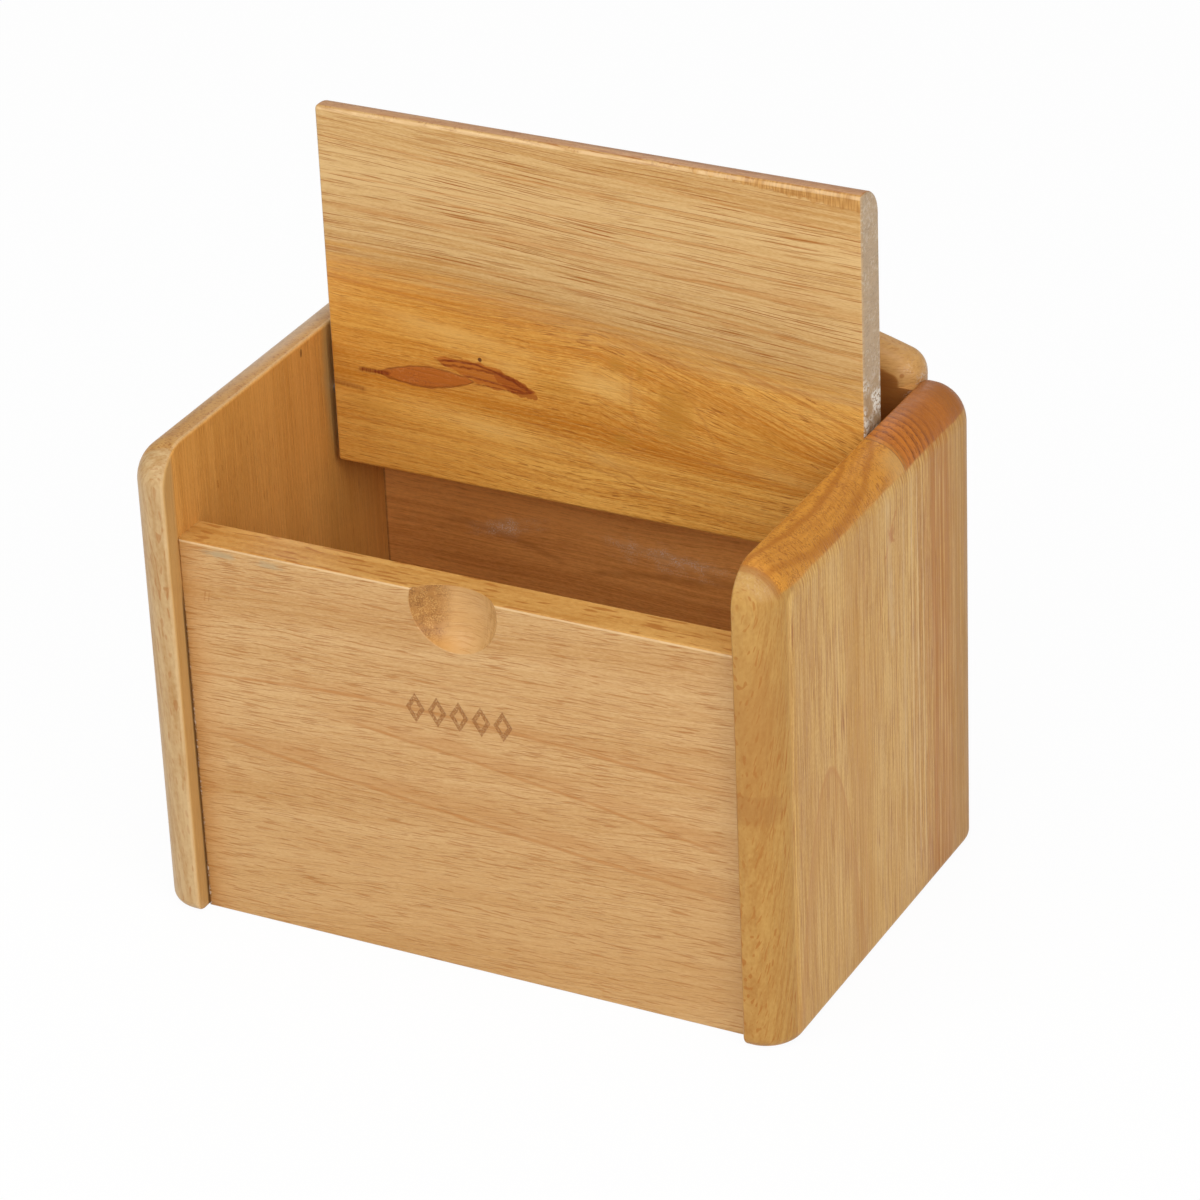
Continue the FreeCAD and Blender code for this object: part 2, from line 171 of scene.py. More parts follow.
# Lid
LID_LINE = (0.43, 0.20, 0.05)
LID_ARRIS_HIGHLIGHT = (0.86, 0.62, 0.35)
LID_END_DARK = (0.30, 0.20, 0.11)
LID_END_SPECK = (0.66, 0.56, 0.42)
SALT_CRUMB = (0.90, 0.86, 0.76)
AMBER_FIBRE = (0.54, 0.195, 0.018)
AMBER_LEFT_TINT = (0.60, 0.25, 0.03)
AMBER_PALE = (0.82, 0.50, 0.15)
AMBER_DARK = (0.53, 0.235, 0.03)
KNOT_CRACK = (0.20, 0.032, 0.004)
KNOT_HALO = (0.56, 0.21, 0.03)
KNOT_DARK_SPECK = (0.30, 0.075, 0.016)
KNOT_PALE_SPECK = (0.58, 0.22, 0.07)
KNOT_TAIL = (0.46, 0.125, 0.014)
KNOT_TIP = (0.36, 0.085, 0.01)
KNOT_HOLE = (0.10, 0.025, 0.008)
HATCH_BAND = (0.56, 0.29, 0.075)
HATCH_MARK = (0.36, 0.145, 0.025)
NOSE_PALE = (0.50, 0.245, 0.085)
NOSE_FIBRE = (0.35, 0.145, 0.04)
NOSE_SPECK = (0.30, 0.105, 0.03)
# Fixings
DOWEL_FIBRE = (0.48, 0.29, 0.12)
STEEL_BRUSHED = (0.42, 0.42, 0.43)
# Stage
PAPER = (0.86, 0.86, 0.86)
WHITE = (1.0, 1.0, 1.0)
SKY = (1.0, 0.99, 0.98)

# Tables of marks, in millimetres, each place along and across the board's fibre.
# Streaks and nicks: start, end, width, bow and amount.
FRONT_STREAKS = (
    ((-80, 66.4), (-20, 70.9), 1.3, 0.4, 0.85), ((-50, 69.6), (78, 64.8), 1.4, 2.6, 0.85),
    ((-40, 63.6), (78, 47.6), 1.4, 1.6, 0.90), ((-80, 52.4), (80, 36.2), 1.6, -1.4, 1.0),
    ((-60, 69.8), (80, 66.8), 6.0, 3.0, 0.34), ((-44, 65.4), (80, 50.2), 6.0, 1.8, 0.42),
    ((-80, 54.4), (80, 38.9), 6.0, -1.2, 0.46), ((-80, 49.6), (80, 33.0), 4.0, -1.2, 0.14),
    ((-78, 85.0), (60, 82.0), 1.0, 1.5, 0.26), ((-78, 80.5), (70, 78.6), 1.2, 1.0, 0.26),
    ((-20, 78.4), (76, 74.0), 1.2, 1.2, 0.30), ((-78, 93.0), (0, 92.0), 0.8, 0.8, 0.40),
    ((-78, 96.8), (-20, 95.2), 0.8, -0.6, 0.45), ((-70, 60.0), (20, 46.6), 6.0, 0.0, 0.12),
    ((-60, 27.0), (78, 14.0), 7.0, 0.6, 0.14), ((-78, 20.0), (40, 6.0), 5.0, 0.6, 0.12),
    ((10, 92.0), (76, 84.5), 1.1, 0.4, 0.32), ((20, 60.0), (78, 58.5), 4.0, 0.8, 0.12),
)
FRONT_NICKS = (
    ((-68.9, 87.4), (-68.3, 90.8), 0.7, 0.0, 0.6), ((-67.7, 87.6), (-67.2, 90.5), 0.6, 0.0, 0.5),
)
SIDE_BANDS = (
    ((128, -16.0), (40, -14.0), 16.0, 1.0, 0.45), ((90, -10.0), (-4, -9.0), 14.0, 1.0, 0.35),
    ((128, -4.0), (60, -2.0), 7.0, 1.0, 0.40), ((120, -40.0), (30, -38.0), 6.0, 1.0, 0.20),
)
SIDE_STREAKS = (
    ((115, 9.4), (102, 1.6), 1.6, 0.8, 0.9), ((112.0, 3.4), (106.0, 7.8), 1.3, 0.6, 0.8),
    ((110.4, 5.0), (106.6, 6.0), 2.2, 0.0, 0.9), ((106, 4.0), (82, -4.0), 1.6, 0.0, 0.35),
    ((122, -9.0), (6, -11.0), 1.2, 1.0, 0.40), ((122, 9.0), (2, 7.5), 1.2, 0.6, 0.34),
    ((120, -26.0), (4, -27.0), 1.0, 1.0, 0.35), ((80, -15.0), (4, -17.0), 1.2, 0.0, 0.35),
    ((116, -20.5), (60, -20.0), 0.9, 0.0, 0.4),
)
SIDE_PALE_STREAKS = (
    ((124, 12.3), (2, 12.6), 1.2, 0.0, 0.45), ((128, 2.4), (76, 6.0), 4.0, 0.0, 0.35),
)
REAR_STREAKS = (
    ((128, 25.6), (-2, 26.5), 1.4, 0.5, 0.5), ((128, 30.0), (-2, 31.0), 1.6, 0.5, 0.5),
    ((128, 37.0), (-2, 37.6), 1.4, 0.4, 0.4), ((110, 45.0), (-2, 44.0), 1.2, 0.4, 0.3),
    ((128, 18.9), (-2, 19.2), 0.8, 0.2, 0.5), ((128, 22.0), (-2, 22.4), 0.8, 0.2, 0.45),
)
REAR_PALE_STREAKS = (
    ((128, 17.2), (-2, 17.6), 0.8, 0.1, 0.6), ((128, 20.4), (-2, 20.8), 0.8, 0.1, 0.6),
    ((128, 23.5), (-2, 24.2), 0.7, 0.1, 0.5),
)
LEFT_NICKS = (
    ((110, -33.6), (107.6, -33.4), 1.0, 0.0, 0.7), ((113, -31.0), (111, -30.8), 0.8, 0.0, 0.5),
)
BACK_STREAKS = (
    ((-78, 92.0), (78, 86.0), 5.0, 3.0, 0.25), ((-78, 64.0), (78, 70.0), 4.0, -2.0, 0.25),
    ((-70, 40.0), (78, 34.0), 6.0, 2.0, 0.22), ((-78, 112.0), (60, 106.0), 1.4, 1.5, 0.35),
    ((-40, 22.0), (78, 17.0), 1.4, 1.0, 0.35), ((-78, 54.0), (30, 50.0), 1.3, -1.0, 0.35),
)
BASE_STREAKS = (
    ((-76, 10.0), (76, 2.0), 5.0, 2.0, 0.25), ((-76, -24.0), (76, -18.0), 4.0, 1.0, 0.2),
)
LID_STREAKS = (
    ((-80, 161.2), (80, 155.0), 1.6, 1.6, 0.40), ((-80, 162.4), (80, 156.6), 5.0, 1.6, 0.16),
    ((-80, 170.0), (60, 167.0), 0.8, 0.6, 0.50), ((-60, 168.0), (80, 160.0), 0.8, 0.8, 0.50),
    ((-80, 143.4), (-10, 137.0), 1.0, -0.6, 0.65), ((-80, 180.0), (10, 175.0), 0.7, 0.6, 0.45),
    ((-78, 152.0), (60, 147.0), 0.9, 0.8, 0.40), ((-60, 178.0), (80, 173.0), 0.8, 0.6, 0.45),
    ((0, 182.0), (80, 176.0), 0.7, 0.4, 0.45), ((-20, 137.5), (80, 133.0), 1.2, -0.5, 0.40),
    ((-80, 148.0), (0, 141.0), 0.8, 0.5, 0.50), ((10, 152.0), (80, 144.0), 0.8, 0.5, 0.45),
    ((34, 139.0), (76, 123.5), 1.2, 0.5, 0.55), ((40, 138.0), (76, 127.0), 0.9, 0.4, 0.40),
    ((30, 128.0), (76, 113.0), 0.8, 0.6, 0.35), ((-76, 104.0), (78, 97.0), 1.0, 1.4, 0.45),
    ((-76, 100.0), (78, 94.0), 1.0, 1.0, 0.40), ((-24, 112.4), (14, 100.0), 0.8, 2.4, 0.65),
    ((-20, 110.0), (20, 97.0), 0.8, 2.2, 0.60), ((-16, 107.0), (18, 95.0), 0.7, 1.6, 0.55),
    ((20, 111.0), (76, 103.0), 1.0, 0.6, 0.40), ((-5, 134.5), (13, 127.0), 1.1, 1.8, 0.50),
    ((1, 116.5), (15, 112.0), 1.0, -2.0, 0.55), ((0, 109.0), (16, 112.0), 1.0, -2.4, 0.55),
    ((15, 135.0), (34, 111.0), 1.3, 4.0, 0.45), ((12, 132.0), (15, 112.0), 1.4, -2.6, 0.45),
    ((4, 113.6), (12, 112.8), 1.0, 1.4, 0.55),
)
LID_NICKS = (
    ((57.6, 132.6), (60.8, 131.6), 0.6, 0.0, 0.9), ((58.6, 115.2), (61.2, 114.0), 0.7, 0.0, 0.9),
    ((-4.0, 136.6), (1.0, 135.6), 0.7, 0.0, 0.8), ((2.0, 136.2), (8.0, 134.8), 0.7, 0.0, 0.8),
    ((14.0, 136.8), (24.0, 134.0), 0.8, 0.6, 0.7), ((-22, 134.4), (-16, 133.4), 0.6, 0.0, 0.7),
)
# Cracks of the knot: start, end, width, bow, raggedness and amount.
KNOT_CRACKS = (
    ((-66.0, 117.6), (-56.0, 117.8), 2.0, 0.0, 0.25, 1.0),
    ((-75.0, 112.7), (-63.0, 112.0), 2.0, 0.2, 0.3, 0.5),
    ((-44.4, 123.6), (-16.6, 119.4), 1.0, 3.0, 0.7, 1.0),
    ((-43.4, 123.0), (-25.0, 123.2), 1.0, 0.4, 0.8, 0.85),
    ((-37.0, 121.2), (-17.0, 119.4), 0.8, 0.4, 0.8, 0.85),
    ((-27.0, 124.0), (-16.0, 119.6), 1.3, 0.7, 0.6, 0.85),
    ((-24.0, 119.6), (-15.4, 120.6), 1.0, -0.8, 0.5, 0.85),
    ((-33.0, 119.4), (-23.0, 119.2), 0.7, 0.2, 0.6, 0.7),
)
# Patches in the lid's amber part: centre, half sizes and amount.
AMBER_PALE_PATCHES = (
    ((3.0, 126.0), (15, 6), 0.8), ((-30, 108.0), (32, 4), 0.5), ((-40, 132.0), (34, 5), 0.5),
    ((-22, 126.0), (14, 3), 0.4), ((50, 110.0), (20, 3), 0.4), ((4, 105.0), (12, 3), 0.4),
    ((60, 128.0), (12, 3), 0.3),
)
AMBER_DARK_PATCHES = (
    ((22.7, 121.4), (8, 11), 0.75), ((7.4, 132.0), (4, 3), 0.75), ((13.6, 131.4), (1.6, 3.0), 0.6),
    ((7.9, 111.8), (4, 2.2), 0.8), ((-10, 122), (9, 4), 0.45), ((46, 118), (14, 6), 0.35),
    ((-62, 108), (10, 3), 0.35),
)
# Growth rings on top of the right side: radius, width and amount.
SIDE_RINGS = (
    (93.8, 0.9, 0.35), (97.0, 1.3, 0.7), (99.4, 0.7, 0.3), (102.8, 1.3, 0.6), (100.6, 0.6, 0.25),
)
# Smudges under the front panel's upper edge: centre, half sizes and amount.
FRONT_SMUDGES = (
    ((-64, 101.4), (7, 1.5), 0.6), ((-50, 101.2), (6, 1.3), 0.5),
)


def tone(name, colour, description):
    """A colour that the panel offers."""
    return FloatVectorProperty(
        name=name, description=description, default=colour, subtype="COLOR", size=3, min=0.0, max=1.0
    )


def power(name, watts, description):
    """A lamp's power that the panel offers."""
    return FloatProperty(name=name, description=description, default=watts, min=0.0, unit="POWER")


class SaltBoxLook(bpy.types.PropertyGroup):
    """Colours, finish, ornament and light of the salt box."""

    front_pale: tone("Front, pale", (0.61, 0.375, 0.162), "Pale wood of the front panel")
    front_deep: tone("Front, deep", (0.47, 0.24, 0.072), "Darker fibre of the front panel")
    front_edge: tone("Front edge", (0.62, 0.335, 0.092), "Upper edge and scoop of the front panel")
    side_pale: tone("Sides, pale", (0.69, 0.42, 0.13), "Pale wood of the sides' outer faces")
    side_deep: tone("Sides, deep", (0.44, 0.19, 0.022), "Darker fibre of the sides' outer faces")
    side_gold: tone("Sides, gold", (0.505, 0.285, 0.075), "Front edges of the sides")
    side_inner: tone("Sides, inside", (0.70, 0.345, 0.085), "Inner faces of the sides")
    side_end: tone("Sides, end grain", (0.60, 0.255, 0.036), "End grain on top of the sides")
    rear_band: tone(
        "Rear board, red", (0.42, 0.155, 0.012), "Reddish band on the right side's rear board"
    )
    rear_end: tone(
        "Rear board, end grain", (0.52, 0.165, 0.020), "End grain of the right side's rear board"
    )
    lid_pale: tone("Lid, pale", (0.66, 0.43, 0.182), "Pale wood of the lid")
    lid_deep: tone("Lid, deep", (0.50, 0.26, 0.07), "Darker fibre of the lid")
    lid_amber: tone("Lid, amber", (0.82, 0.45, 0.10), "Amber wood in the lower part of the lid")
    lid_end: tone("Lid, end grain", (0.47, 0.32, 0.18), "Raw ends of the lid")
    back_pale: tone("Back, pale", (0.64, 0.355, 0.118), "Arched top of the back panel")
    back_deep: tone("Back, deep", (0.79, 0.37, 0.102), "Face of the back panel inside the box")
    base_pale: tone("Base, pale", (0.56, 0.33, 0.13), "Pale wood of the base panel")
    base_deep: tone("Base, deep", (0.44, 0.22, 0.075), "Darker fibre of the base panel")
    dowel_pale: tone("Dowels", (0.62, 0.43, 0.22), "Wood of the dowels")
    streak: tone("Growth streaks", (0.49, 0.19, 0.034), "Reddish streaks along the growth rings")
    pore: tone("Pores", (0.36, 0.12, 0.015), "Pores and fine cracks")
    burnt: tone("Burnt ornament", (0.27, 0.095, 0.014), "Scorched lines of the ornament on the front")
    knot: tone("Knot", (0.47, 0.135, 0.018), "Filled knot in the lid")
    # Dust, also used for a painted sheen on the outer rounding of the left side's top.
    dust_and_sheen: tone("Dust", (0.68, 0.58, 0.47), "Worn, dusty places")
    steel: tone("Pins", (0.55, 0.55, 0.56), "Steel of the hinge pins")
    gloss: FloatProperty(
        name="Roughness", description="Roughness of the clear finish", default=0.42,
        min=0.1, max=1.0, subtype="FACTOR"
    )
    relief: FloatProperty(
        name="Relief", description="Depth of the pores in the finish", default=0.00012,
        min=0.0, max=0.001, unit="LENGTH", precision=5
    )
    ornament_width: FloatProperty(
        name="Ornament width", description="Length of the row of lozenges", default=0.0296,
        min=0.005, max=0.1, unit="LENGTH", precision=4
    )
    ornament_height: FloatProperty(
        name="Ornament height", description="Height of the lozenges", default=0.0082,
        min=0.002, max=0.03, unit="LENGTH", precision=4
    )
    key_power: power("Key light", 4.8, "Power of the key light on the left")
    side_power: power("Side light", 6.5, "Power of the light on the right")
    front_power: power("Front light", 6.0, "Power of the light beside the camera")
    fill_power: power("Fill light", 5.6, "Power of the light above")
    back_power: power("Back light", 3.0, "Power of the light behind")
    floor_size: FloatProperty(
        name="Floor size", description="Length of the floor's sides", default=8.0, min=1.0, unit="LENGTH"
    )


class Nodes:
    """Adds nodes to one tree. Most calls return the output socket that the next call uses."""

    def __init__(self, tree):
        self.tree = tree

    def feed(self, socket, value):
        """Links an output to a socket, or sets the socket's constant."""
        if isinstance(value, bpy.types.NodeSocket):
            self.tree.links.new(value, socket)
        elif socket.type == "RGBA" and len(value) == 3:
            socket.default_value = (*value, 1.0)
        else:
            socket.default_value = value

    def node(self, kind, inputs=None, **settings):
        """Adds a node with its inputs and settings."""
        made = self.tree.nodes.new(kind)
        for key, value in settings.items():
            setattr(made, key, value)
        for key, value in (inputs or {}).items():
            self.feed(made.inputs[key], value)
        return made

    def math(self, operation, a, b=0.0, clamp=False):
        return self.node("ShaderNodeMath", {0: a, 1: b}, operation=operation, use_clamp=clamp).outputs[0]

    def vector(self, operation, a, b=(0.0, 0.0, 0.0)):
        return self.node("ShaderNodeVectorMath", {0: a, 1: b}, operation=operation).outputs[0]

    def combine(self, x, y, z):
        return self.node("ShaderNodeCombineXYZ", {0: x, 1: y, 2: z}).outputs[0]

    def separate(self, vector):
        return self.node("ShaderNodeSeparateXYZ", {0: vector}).outputs

    def noise(self, vector, stretch=(1.0, 1.0, 1.0), detail=0.0, output="Fac"):
        """Noise of one feature per millimetre where stretch is 1, and finer where it is larger."""
        inputs = {"Vector": self.vector("MULTIPLY", vector, stretch), "Scale": 1.0, "Detail": detail}
        return self.node("ShaderNodeTexNoise", inputs).outputs[output]

    def ripple(self, place, detail=0.0):
        """Noise along a line."""
        inputs = {"W": place, "Scale": 1.0, "Detail": detail}
        return self.node("ShaderNodeTexNoise", inputs, noise_dimensions="1D").outputs["Fac"]

    def measure(self, operation, a, b=(0.0, 0.0, 0.0)):
        """Vector maths that gives a number."""
        return self.node("ShaderNodeVectorMath", {0: a, 1: b}, operation=operation).outputs["Value"]

    def step(self, value, low, high):
        """0 at low, 1 at high, with a soft change between them; low may be the larger."""
        inputs = {"Value": value, "From Min": low, "From Max": high}
        return self.node("ShaderNodeMapRange", inputs, interpolation_type="SMOOTHSTEP").outputs[0]

    def mix(self, factor, a, b):
        """The colour b over the colour a by a factor."""
        return self.node("ShaderNodeMix", {0: factor, 6: a, 7: b}, data_type="RGBA").outputs[2]

    def product(self, *values):
        """All values multiplied."""
        result = values[0]
        for value in values[1:]:
            result = self.math("MULTIPLY", result, value)
        return result


def new_group(name, inputs, outputs):
    """An empty node group. Returns its tree, its nodes, and the sockets inside it."""
    tree = bpy.data.node_groups.new(name, "ShaderNodeTree")
    kinds = {"vector": "NodeSocketVector", "colour": "NodeSocketColor", "number": "NodeSocketFloat"}
    for label, kind in inputs.items():
        tree.interface.new_socket(name=label, in_out="INPUT", socket_type=kinds[kind])
    for label, kind in outputs.items():
        tree.interface.new_socket(name=label, in_out="OUTPUT", socket_type=kinds[kind])
    given = tree.nodes.new("NodeGroupInput").outputs
    wanted = tree.nodes.new("NodeGroupOutput").inputs
    return tree, Nodes(tree), given, wanted


def fibre_group():
    """Long grain: soft bands, fine lines, grit and pores, running along the vector's X in millimetres."""
    tree, n, given, wanted = new_group(
        "wood_fibre",
        {"Place": "vector", "Pale": "colour", "Deep": "colour", "Pore": "colour",
         "Lines": "number", "Pores": "number", "Length": "number", "Wander": "number"},
        {"Color": "colour", "Height": "number"},
    )
    drift = n.vector(
        "SUBTRACT", n.noise(given["Place"], (0.012, 0.035, 0.012), 1.0, "Color"), (0.5, 0.5, 0.5)
    )
    place = n.vector(
        "ADD", given["Place"], n.vector("MULTIPLY", drift, n.combine(0.0, given["Wander"], 0.0))
    )
    bands = n.math("SUBTRACT", n.noise(place, (0.004, 0.09, 0.03), 2.0), 0.5)
    lines = n.math("SUBTRACT", n.step(n.noise(place, (0.018, 1.4, 0.4), 2.0), 0.30, 0.70), 0.5)
    grit = n.math("SUBTRACT", n.noise(place, (0.8, 3.0, 1.2), 1.0), 0.5)
    x, y, z = n.separate(place)
    dashes = n.combine(
        n.math("DIVIDE", x, given["Length"]), n.math("MULTIPLY", y, 4.0), n.math("MULTIPLY", z, 0.9)
    )
    pores = n.step(n.noise(dashes), 0.63, 0.72)
    patches = n.step(n.noise(place, (0.03, 0.17, 0.06), 1.0), 0.30, 0.62)
    pores = n.product(pores, n.math("ADD", n.math("MULTIPLY", patches, 0.45), 0.55))
    depth = n.math("ADD", n.math("MULTIPLY", bands, 1.5), n.product(lines, given["Lines"], 1.7))
    depth = n.math("ADD", depth, n.math("MULTIPLY", grit, 0.9))
    depth = n.math("ADD", depth, 0.42, clamp=True)
    colour = n.mix(depth, given["Pale"], given["Deep"])
    n.feed(wanted["Color"], n.mix(n.product(pores, given["Pores"]), colour, given["Pore"]))
    n.feed(
        wanted["Height"],
        n.math("SUBTRACT", n.product(lines, given["Lines"], -0.7), n.math("MULTIPLY", pores, 0.7))
    )
    return tree


def end_group():
    """End grain: growth lines round the vector's X axis and short marks across them, in millimetres."""
    tree, n, given, wanted = new_group(
        "wood_end_grain",
        {"Place": "vector", "Colour": "colour", "Dark": "colour",
         "Spacing": "number", "Rings": "number", "Marks": "number"},
        {"Color": "colour"},
    )
    waver = n.math("SUBTRACT", n.noise(given["Place"], (0.0, 0.09, 0.09), 2.0), 0.5)
    flat = n.vector("MULTIPLY", given["Place"], (0.0, 1.0, 1.0))
    turn = n.math(
        "ADD", n.math("DIVIDE", n.measure("LENGTH", flat), given["Spacing"]),
        n.math("MULTIPLY", waver, 0.8)
    )
    saw = n.math("FRACT", turn)
    rings = n.product(n.step(saw, 0.0, 0.12), n.step(saw, 0.75, 0.12))
    uneven = n.step(n.noise(n.combine(turn, 0.0, 0.0), (0.9, 1.0, 1.0)), 0.2, 0.65)
    marks = n.step(n.noise(given["Place"], (0.02, 2.6, 1.3), 1.0), 0.52, 0.70)
    blots = n.math("SUBTRACT", n.noise(given["Place"], (0.0, 0.16, 0.16), 2.0), 0.5)
    dark = n.math("ADD", n.product(rings, uneven, given["Rings"]), n.product(marks, given["Marks"]))
    dark = n.math("ADD", dark, n.math("MULTIPLY", blots, 0.9), clamp=True)
    n.feed(wanted["Color"], n.mix(dark, given["Colour"], given["Dark"]))
    return tree


def stroke_group():
    """A line from 0 to 1 along its length, 1 wide on each side, bowed, ragged and tapering to its ends."""
    tree, n, given, wanted = new_group(
        "wood_stroke",
        {"Along": "number", "Across": "number", "Bow": "number",
         "Ragged": "number", "Fade": "number", "Seed": "number"},
        {"Mask": "number"},
    )
    x = given["Along"]
    arch = n.product(x, n.math("SUBTRACT", 1.0, x), given["Bow"], 4.0)
    wobble = n.ripple(n.math("ADD", n.math("MULTIPLY", x, 7.0), given["Seed"]), 2.0)
    wobble = n.product(n.math("SUBTRACT", wobble, 0.5), given["Ragged"], 2.0)
    off = n.math("ABSOLUTE", n.math("SUBTRACT", n.math("SUBTRACT", given["Across"], arch), wobble))
    ends = n.product(n.step(x, 0.0, 0.15), n.step(x, 1.0, 0.85))
    uneven = n.ripple(n.math("SUBTRACT", n.math("MULTIPLY", x, 11.0), given["Seed"]), 1.0)
    uneven = n.math("ADD", n.math("MULTIPLY", uneven, 1.2), 0.2, clamp=True)
    n.feed(wanted["Mask"], n.product(n.step(off, 1.0, given["Fade"]), ends, uneven))
    return tree


def blot_group():
    """A round patch of radius 1 with a ragged, soft outline."""
    tree, n, given, wanted = new_group(
        "wood_blot",
        {"Along": "number", "Across": "number", "Ragged": "number", "Fade": "number", "Seed": "number"},
        {"Mask": "number"},
    )
    x, y = given["Along"], given["Across"]
    radius = n.math("SQRT", n.math("ADD", n.math("MULTIPLY", x, x), n.math("MULTIPLY", y, y)))
    rag = n.ripple(n.math("ADD", n.math("MULTIPLY", x, 2.6), given["Seed"]), 3.0)
    rag = n.math("ADD", rag, n.ripple(n.math("SUBTRACT", n.math("MULTIPLY", y, 1.9), given["Seed"]), 3.0))
    radius = n.math("ADD", radius, n.product(n.math("SUBTRACT", rag, 1.0), given["Ragged"]))
    n.feed(wanted["Mask"], n.step(radius, 1.0, given["Fade"]))
    return tree


def speck_group():
    """Small flecks of a given size in millimetres, gathered in patches."""
    tree, n, given, wanted = new_group(
        "wood_specks", {"Place": "vector", "Size": "number", "Amount": "number"}, {"Mask": "number"}
    )
    place = n.vector("DIVIDE", given["Place"], n.combine(given["Size"], given["Size"], given["Size"]))
    flecks = n.noise(place, detail=1.0)
    patches = n.step(n.noise(place, (0.16, 0.16, 0.16), 1.0), 0.36, 0.62)
    edge = n.math("SUBTRACT", 0.76, n.math("MULTIPLY", given["Amount"], 0.3))
    flecks = n.step(flecks, edge, n.math("ADD", edge, 0.09))
    n.feed(wanted["Mask"], n.product(flecks, patches))
    return tree


GROUPS = {
    "wood_fibre": fibre_group,
    "wood_end_grain": end_group,
    "wood_stroke": stroke_group,
    "wood_blot": blot_group,
    "wood_specks": speck_group,
}


class Board:
    """The wood of one board: its fibre, layers of paint over it, and the clear finish.

    axes names the CAD axes along the fibre, across it and through the board. All places are in millimetres.
    """

    def __init__(self, name, axes, look):
        self.look = look
        self.material = bpy.data.materials.new(name)
        self.material.use_nodes = True
        self.material.node_tree.nodes.clear()
        self.n = Nodes(self.material.node_tree)
        self.seed = 0.0
        cad = self.n.node("ShaderNodeTexCoord").outputs["Object"]
        cad = self.n.vector("MULTIPLY", cad, (MM_PER_M, MM_PER_M, MM_PER_M))
        self.at = dict(zip("xyz", self.n.separate(cad)))
        self.place = self.n.combine(*(self.at[axis] for axis in axes))
        self.colour = None
        self.height = None

    def group(self, kind, **inputs):
        """The outputs of a node group of one kind."""
        tree = bpy.data.node_groups.get(kind) or GROUPS[kind]()
        made = self.n.node("ShaderNodeGroup", node_tree=tree)
        for label, value in inputs.items():
            self.n.feed(made.inputs[label], value)
        return made.outputs

    def moved(self, centre, angle=0.0):
        """The board's place seen from a centre, turned by an angle in the face."""
        inputs = {"Vector": self.place, "Location": centre, "Rotation": (0.0, 0.0, angle)}
        return self.n.node("ShaderNodeMapping", inputs, vector_type="TEXTURE").outputs[0]

    def grain(
        self, pale, deep, lines=0.5, pores=0.6, length=5.0, wander=4.0, shift=(0.0, 0.0, 0.0), angle=0.0
    ):
        """Long grain with pores of about a length, wandering sideways, at an angle to the board's edges."""
        return self.group(
            "wood_fibre", Place=self.moved(shift, angle=angle), Pale=pale, Deep=deep, Pore=self.look.pore,
            Lines=lines, Pores=pores, Length=length, Wander=wander
        )

    def lay(self, pale, deep, **settings):
        """Starts the board with its long grain."""
        made = self.grain(pale, deep, **settings)
        self.colour, self.height = made["Color"], made["Height"]

    def fibre(self, pale, deep, **settings):
        """The colour of other long grain, for one part of the board."""
        return self.grain(pale, deep, **settings)["Color"]

    def end_grain(self, centre, colour, dark, spacing, rings, marks):
        """The colour of end grain with growth rings round a centre."""
        return self.group(
            "wood_end_grain", Place=self.moved(centre), Colour=colour, Dark=dark,
            Spacing=spacing, Rings=rings, Marks=marks
        )["Color"]

    def next_seed(self):
        """A new seed, so that no two marks of a board have the same outline."""
        self.seed += SEED_STEP
        return self.seed

    def measured(self, centre, half, angle):
        """Places along and across a direction in the face, from a centre, in units of two half sizes."""
        along = Vector((math.cos(angle), math.sin(angle)))
        across = Vector((-along.y, along.x))
        places = []
        for direction, size in ((along, half[0]), (across, half[1])):
            direction = direction / size
            value = self.n.measure("DOT_PRODUCT", self.place, (*direction, 0.0))
            places.append(self.n.math("SUBTRACT", value, direction.dot(Vector(centre))))
        return {"Along": places[0], "Across": places[1]}

    def stroke(self, start, end, width, bow=0.0, ragged=0.5, fade=0.2):
        """Mask of a line between two places of the face; width and bow are in millimetres."""
        run = Vector(end) - Vector(start)
        inputs = self.measured(start, (run.length, width / 2), math.atan2(run.y, run.x))
        inputs.update({"Bow": 2 * bow / width, "Ragged": ragged, "Fade": fade, "Seed": self.next_seed()})
        return self.group("wood_stroke", **inputs)["Mask"]

    def blot(self, centre, half, angle=0.0, ragged=0.3, fade=0.5):
        """Mask of a round patch on the face."""
        inputs = self.measured(centre, half, angle)
        return self.group("wood_blot", Ragged=ragged, Fade=fade, Seed=self.next_seed(), **inputs)["Mask"]

    def spindle(self, centre, half, angle=0.0, ragged=0.2):
        """Mask of a pointed oval on the face."""
        n = self.n
        at = self.measured(centre, half, angle)
        reach = n.math(
            "ADD", n.math("MULTIPLY", at["Along"], at["Along"]), n.math("ABSOLUTE", at["Across"])
        )
        rag = n.ripple(n.math("ADD", n.math("MULTIPLY", at["Along"], 4.0), self.next_seed()), 3.0)
        return n.step(
            n.math("ADD", reach, n.product(n.math("SUBTRACT", rag, 0.5), 2 * ragged)), 1.0, 0.85
        )

    def specks(self, size, amount):
        """Mask of small flecks."""
        return self.group("wood_specks", Place=self.place, Size=size, Amount=amount)["Mask"]

    def past(self, axis, low, high, ragged=0.0):
        """Mask that rises from low to high along a CAD axis; its edge wavers by ragged millimetres."""
        value = self.at[axis]
        if ragged:
            waver = self.n.math("SUBTRACT", self.n.noise(self.place, (0.15, 0.15, 0.15), 2.0), 0.5)
            value = self.n.math("ADD", value, self.n.math("MULTIPLY", waver, 2 * ragged))
        return self.n.step(value, low, high)

    def within(self, axis, low, high, soft):
        """Mask of the stretch from low to high along a CAD axis."""
        return self.n.product(self.past(axis, low - soft, low), self.past(axis, high + soft, high))

    def paint(self, colour, *masks, amount=1.0):
        """Lays a colour over the board where all masks are high."""
        self.colour = self.n.mix(self.n.product(*masks, amount), self.colour, colour)

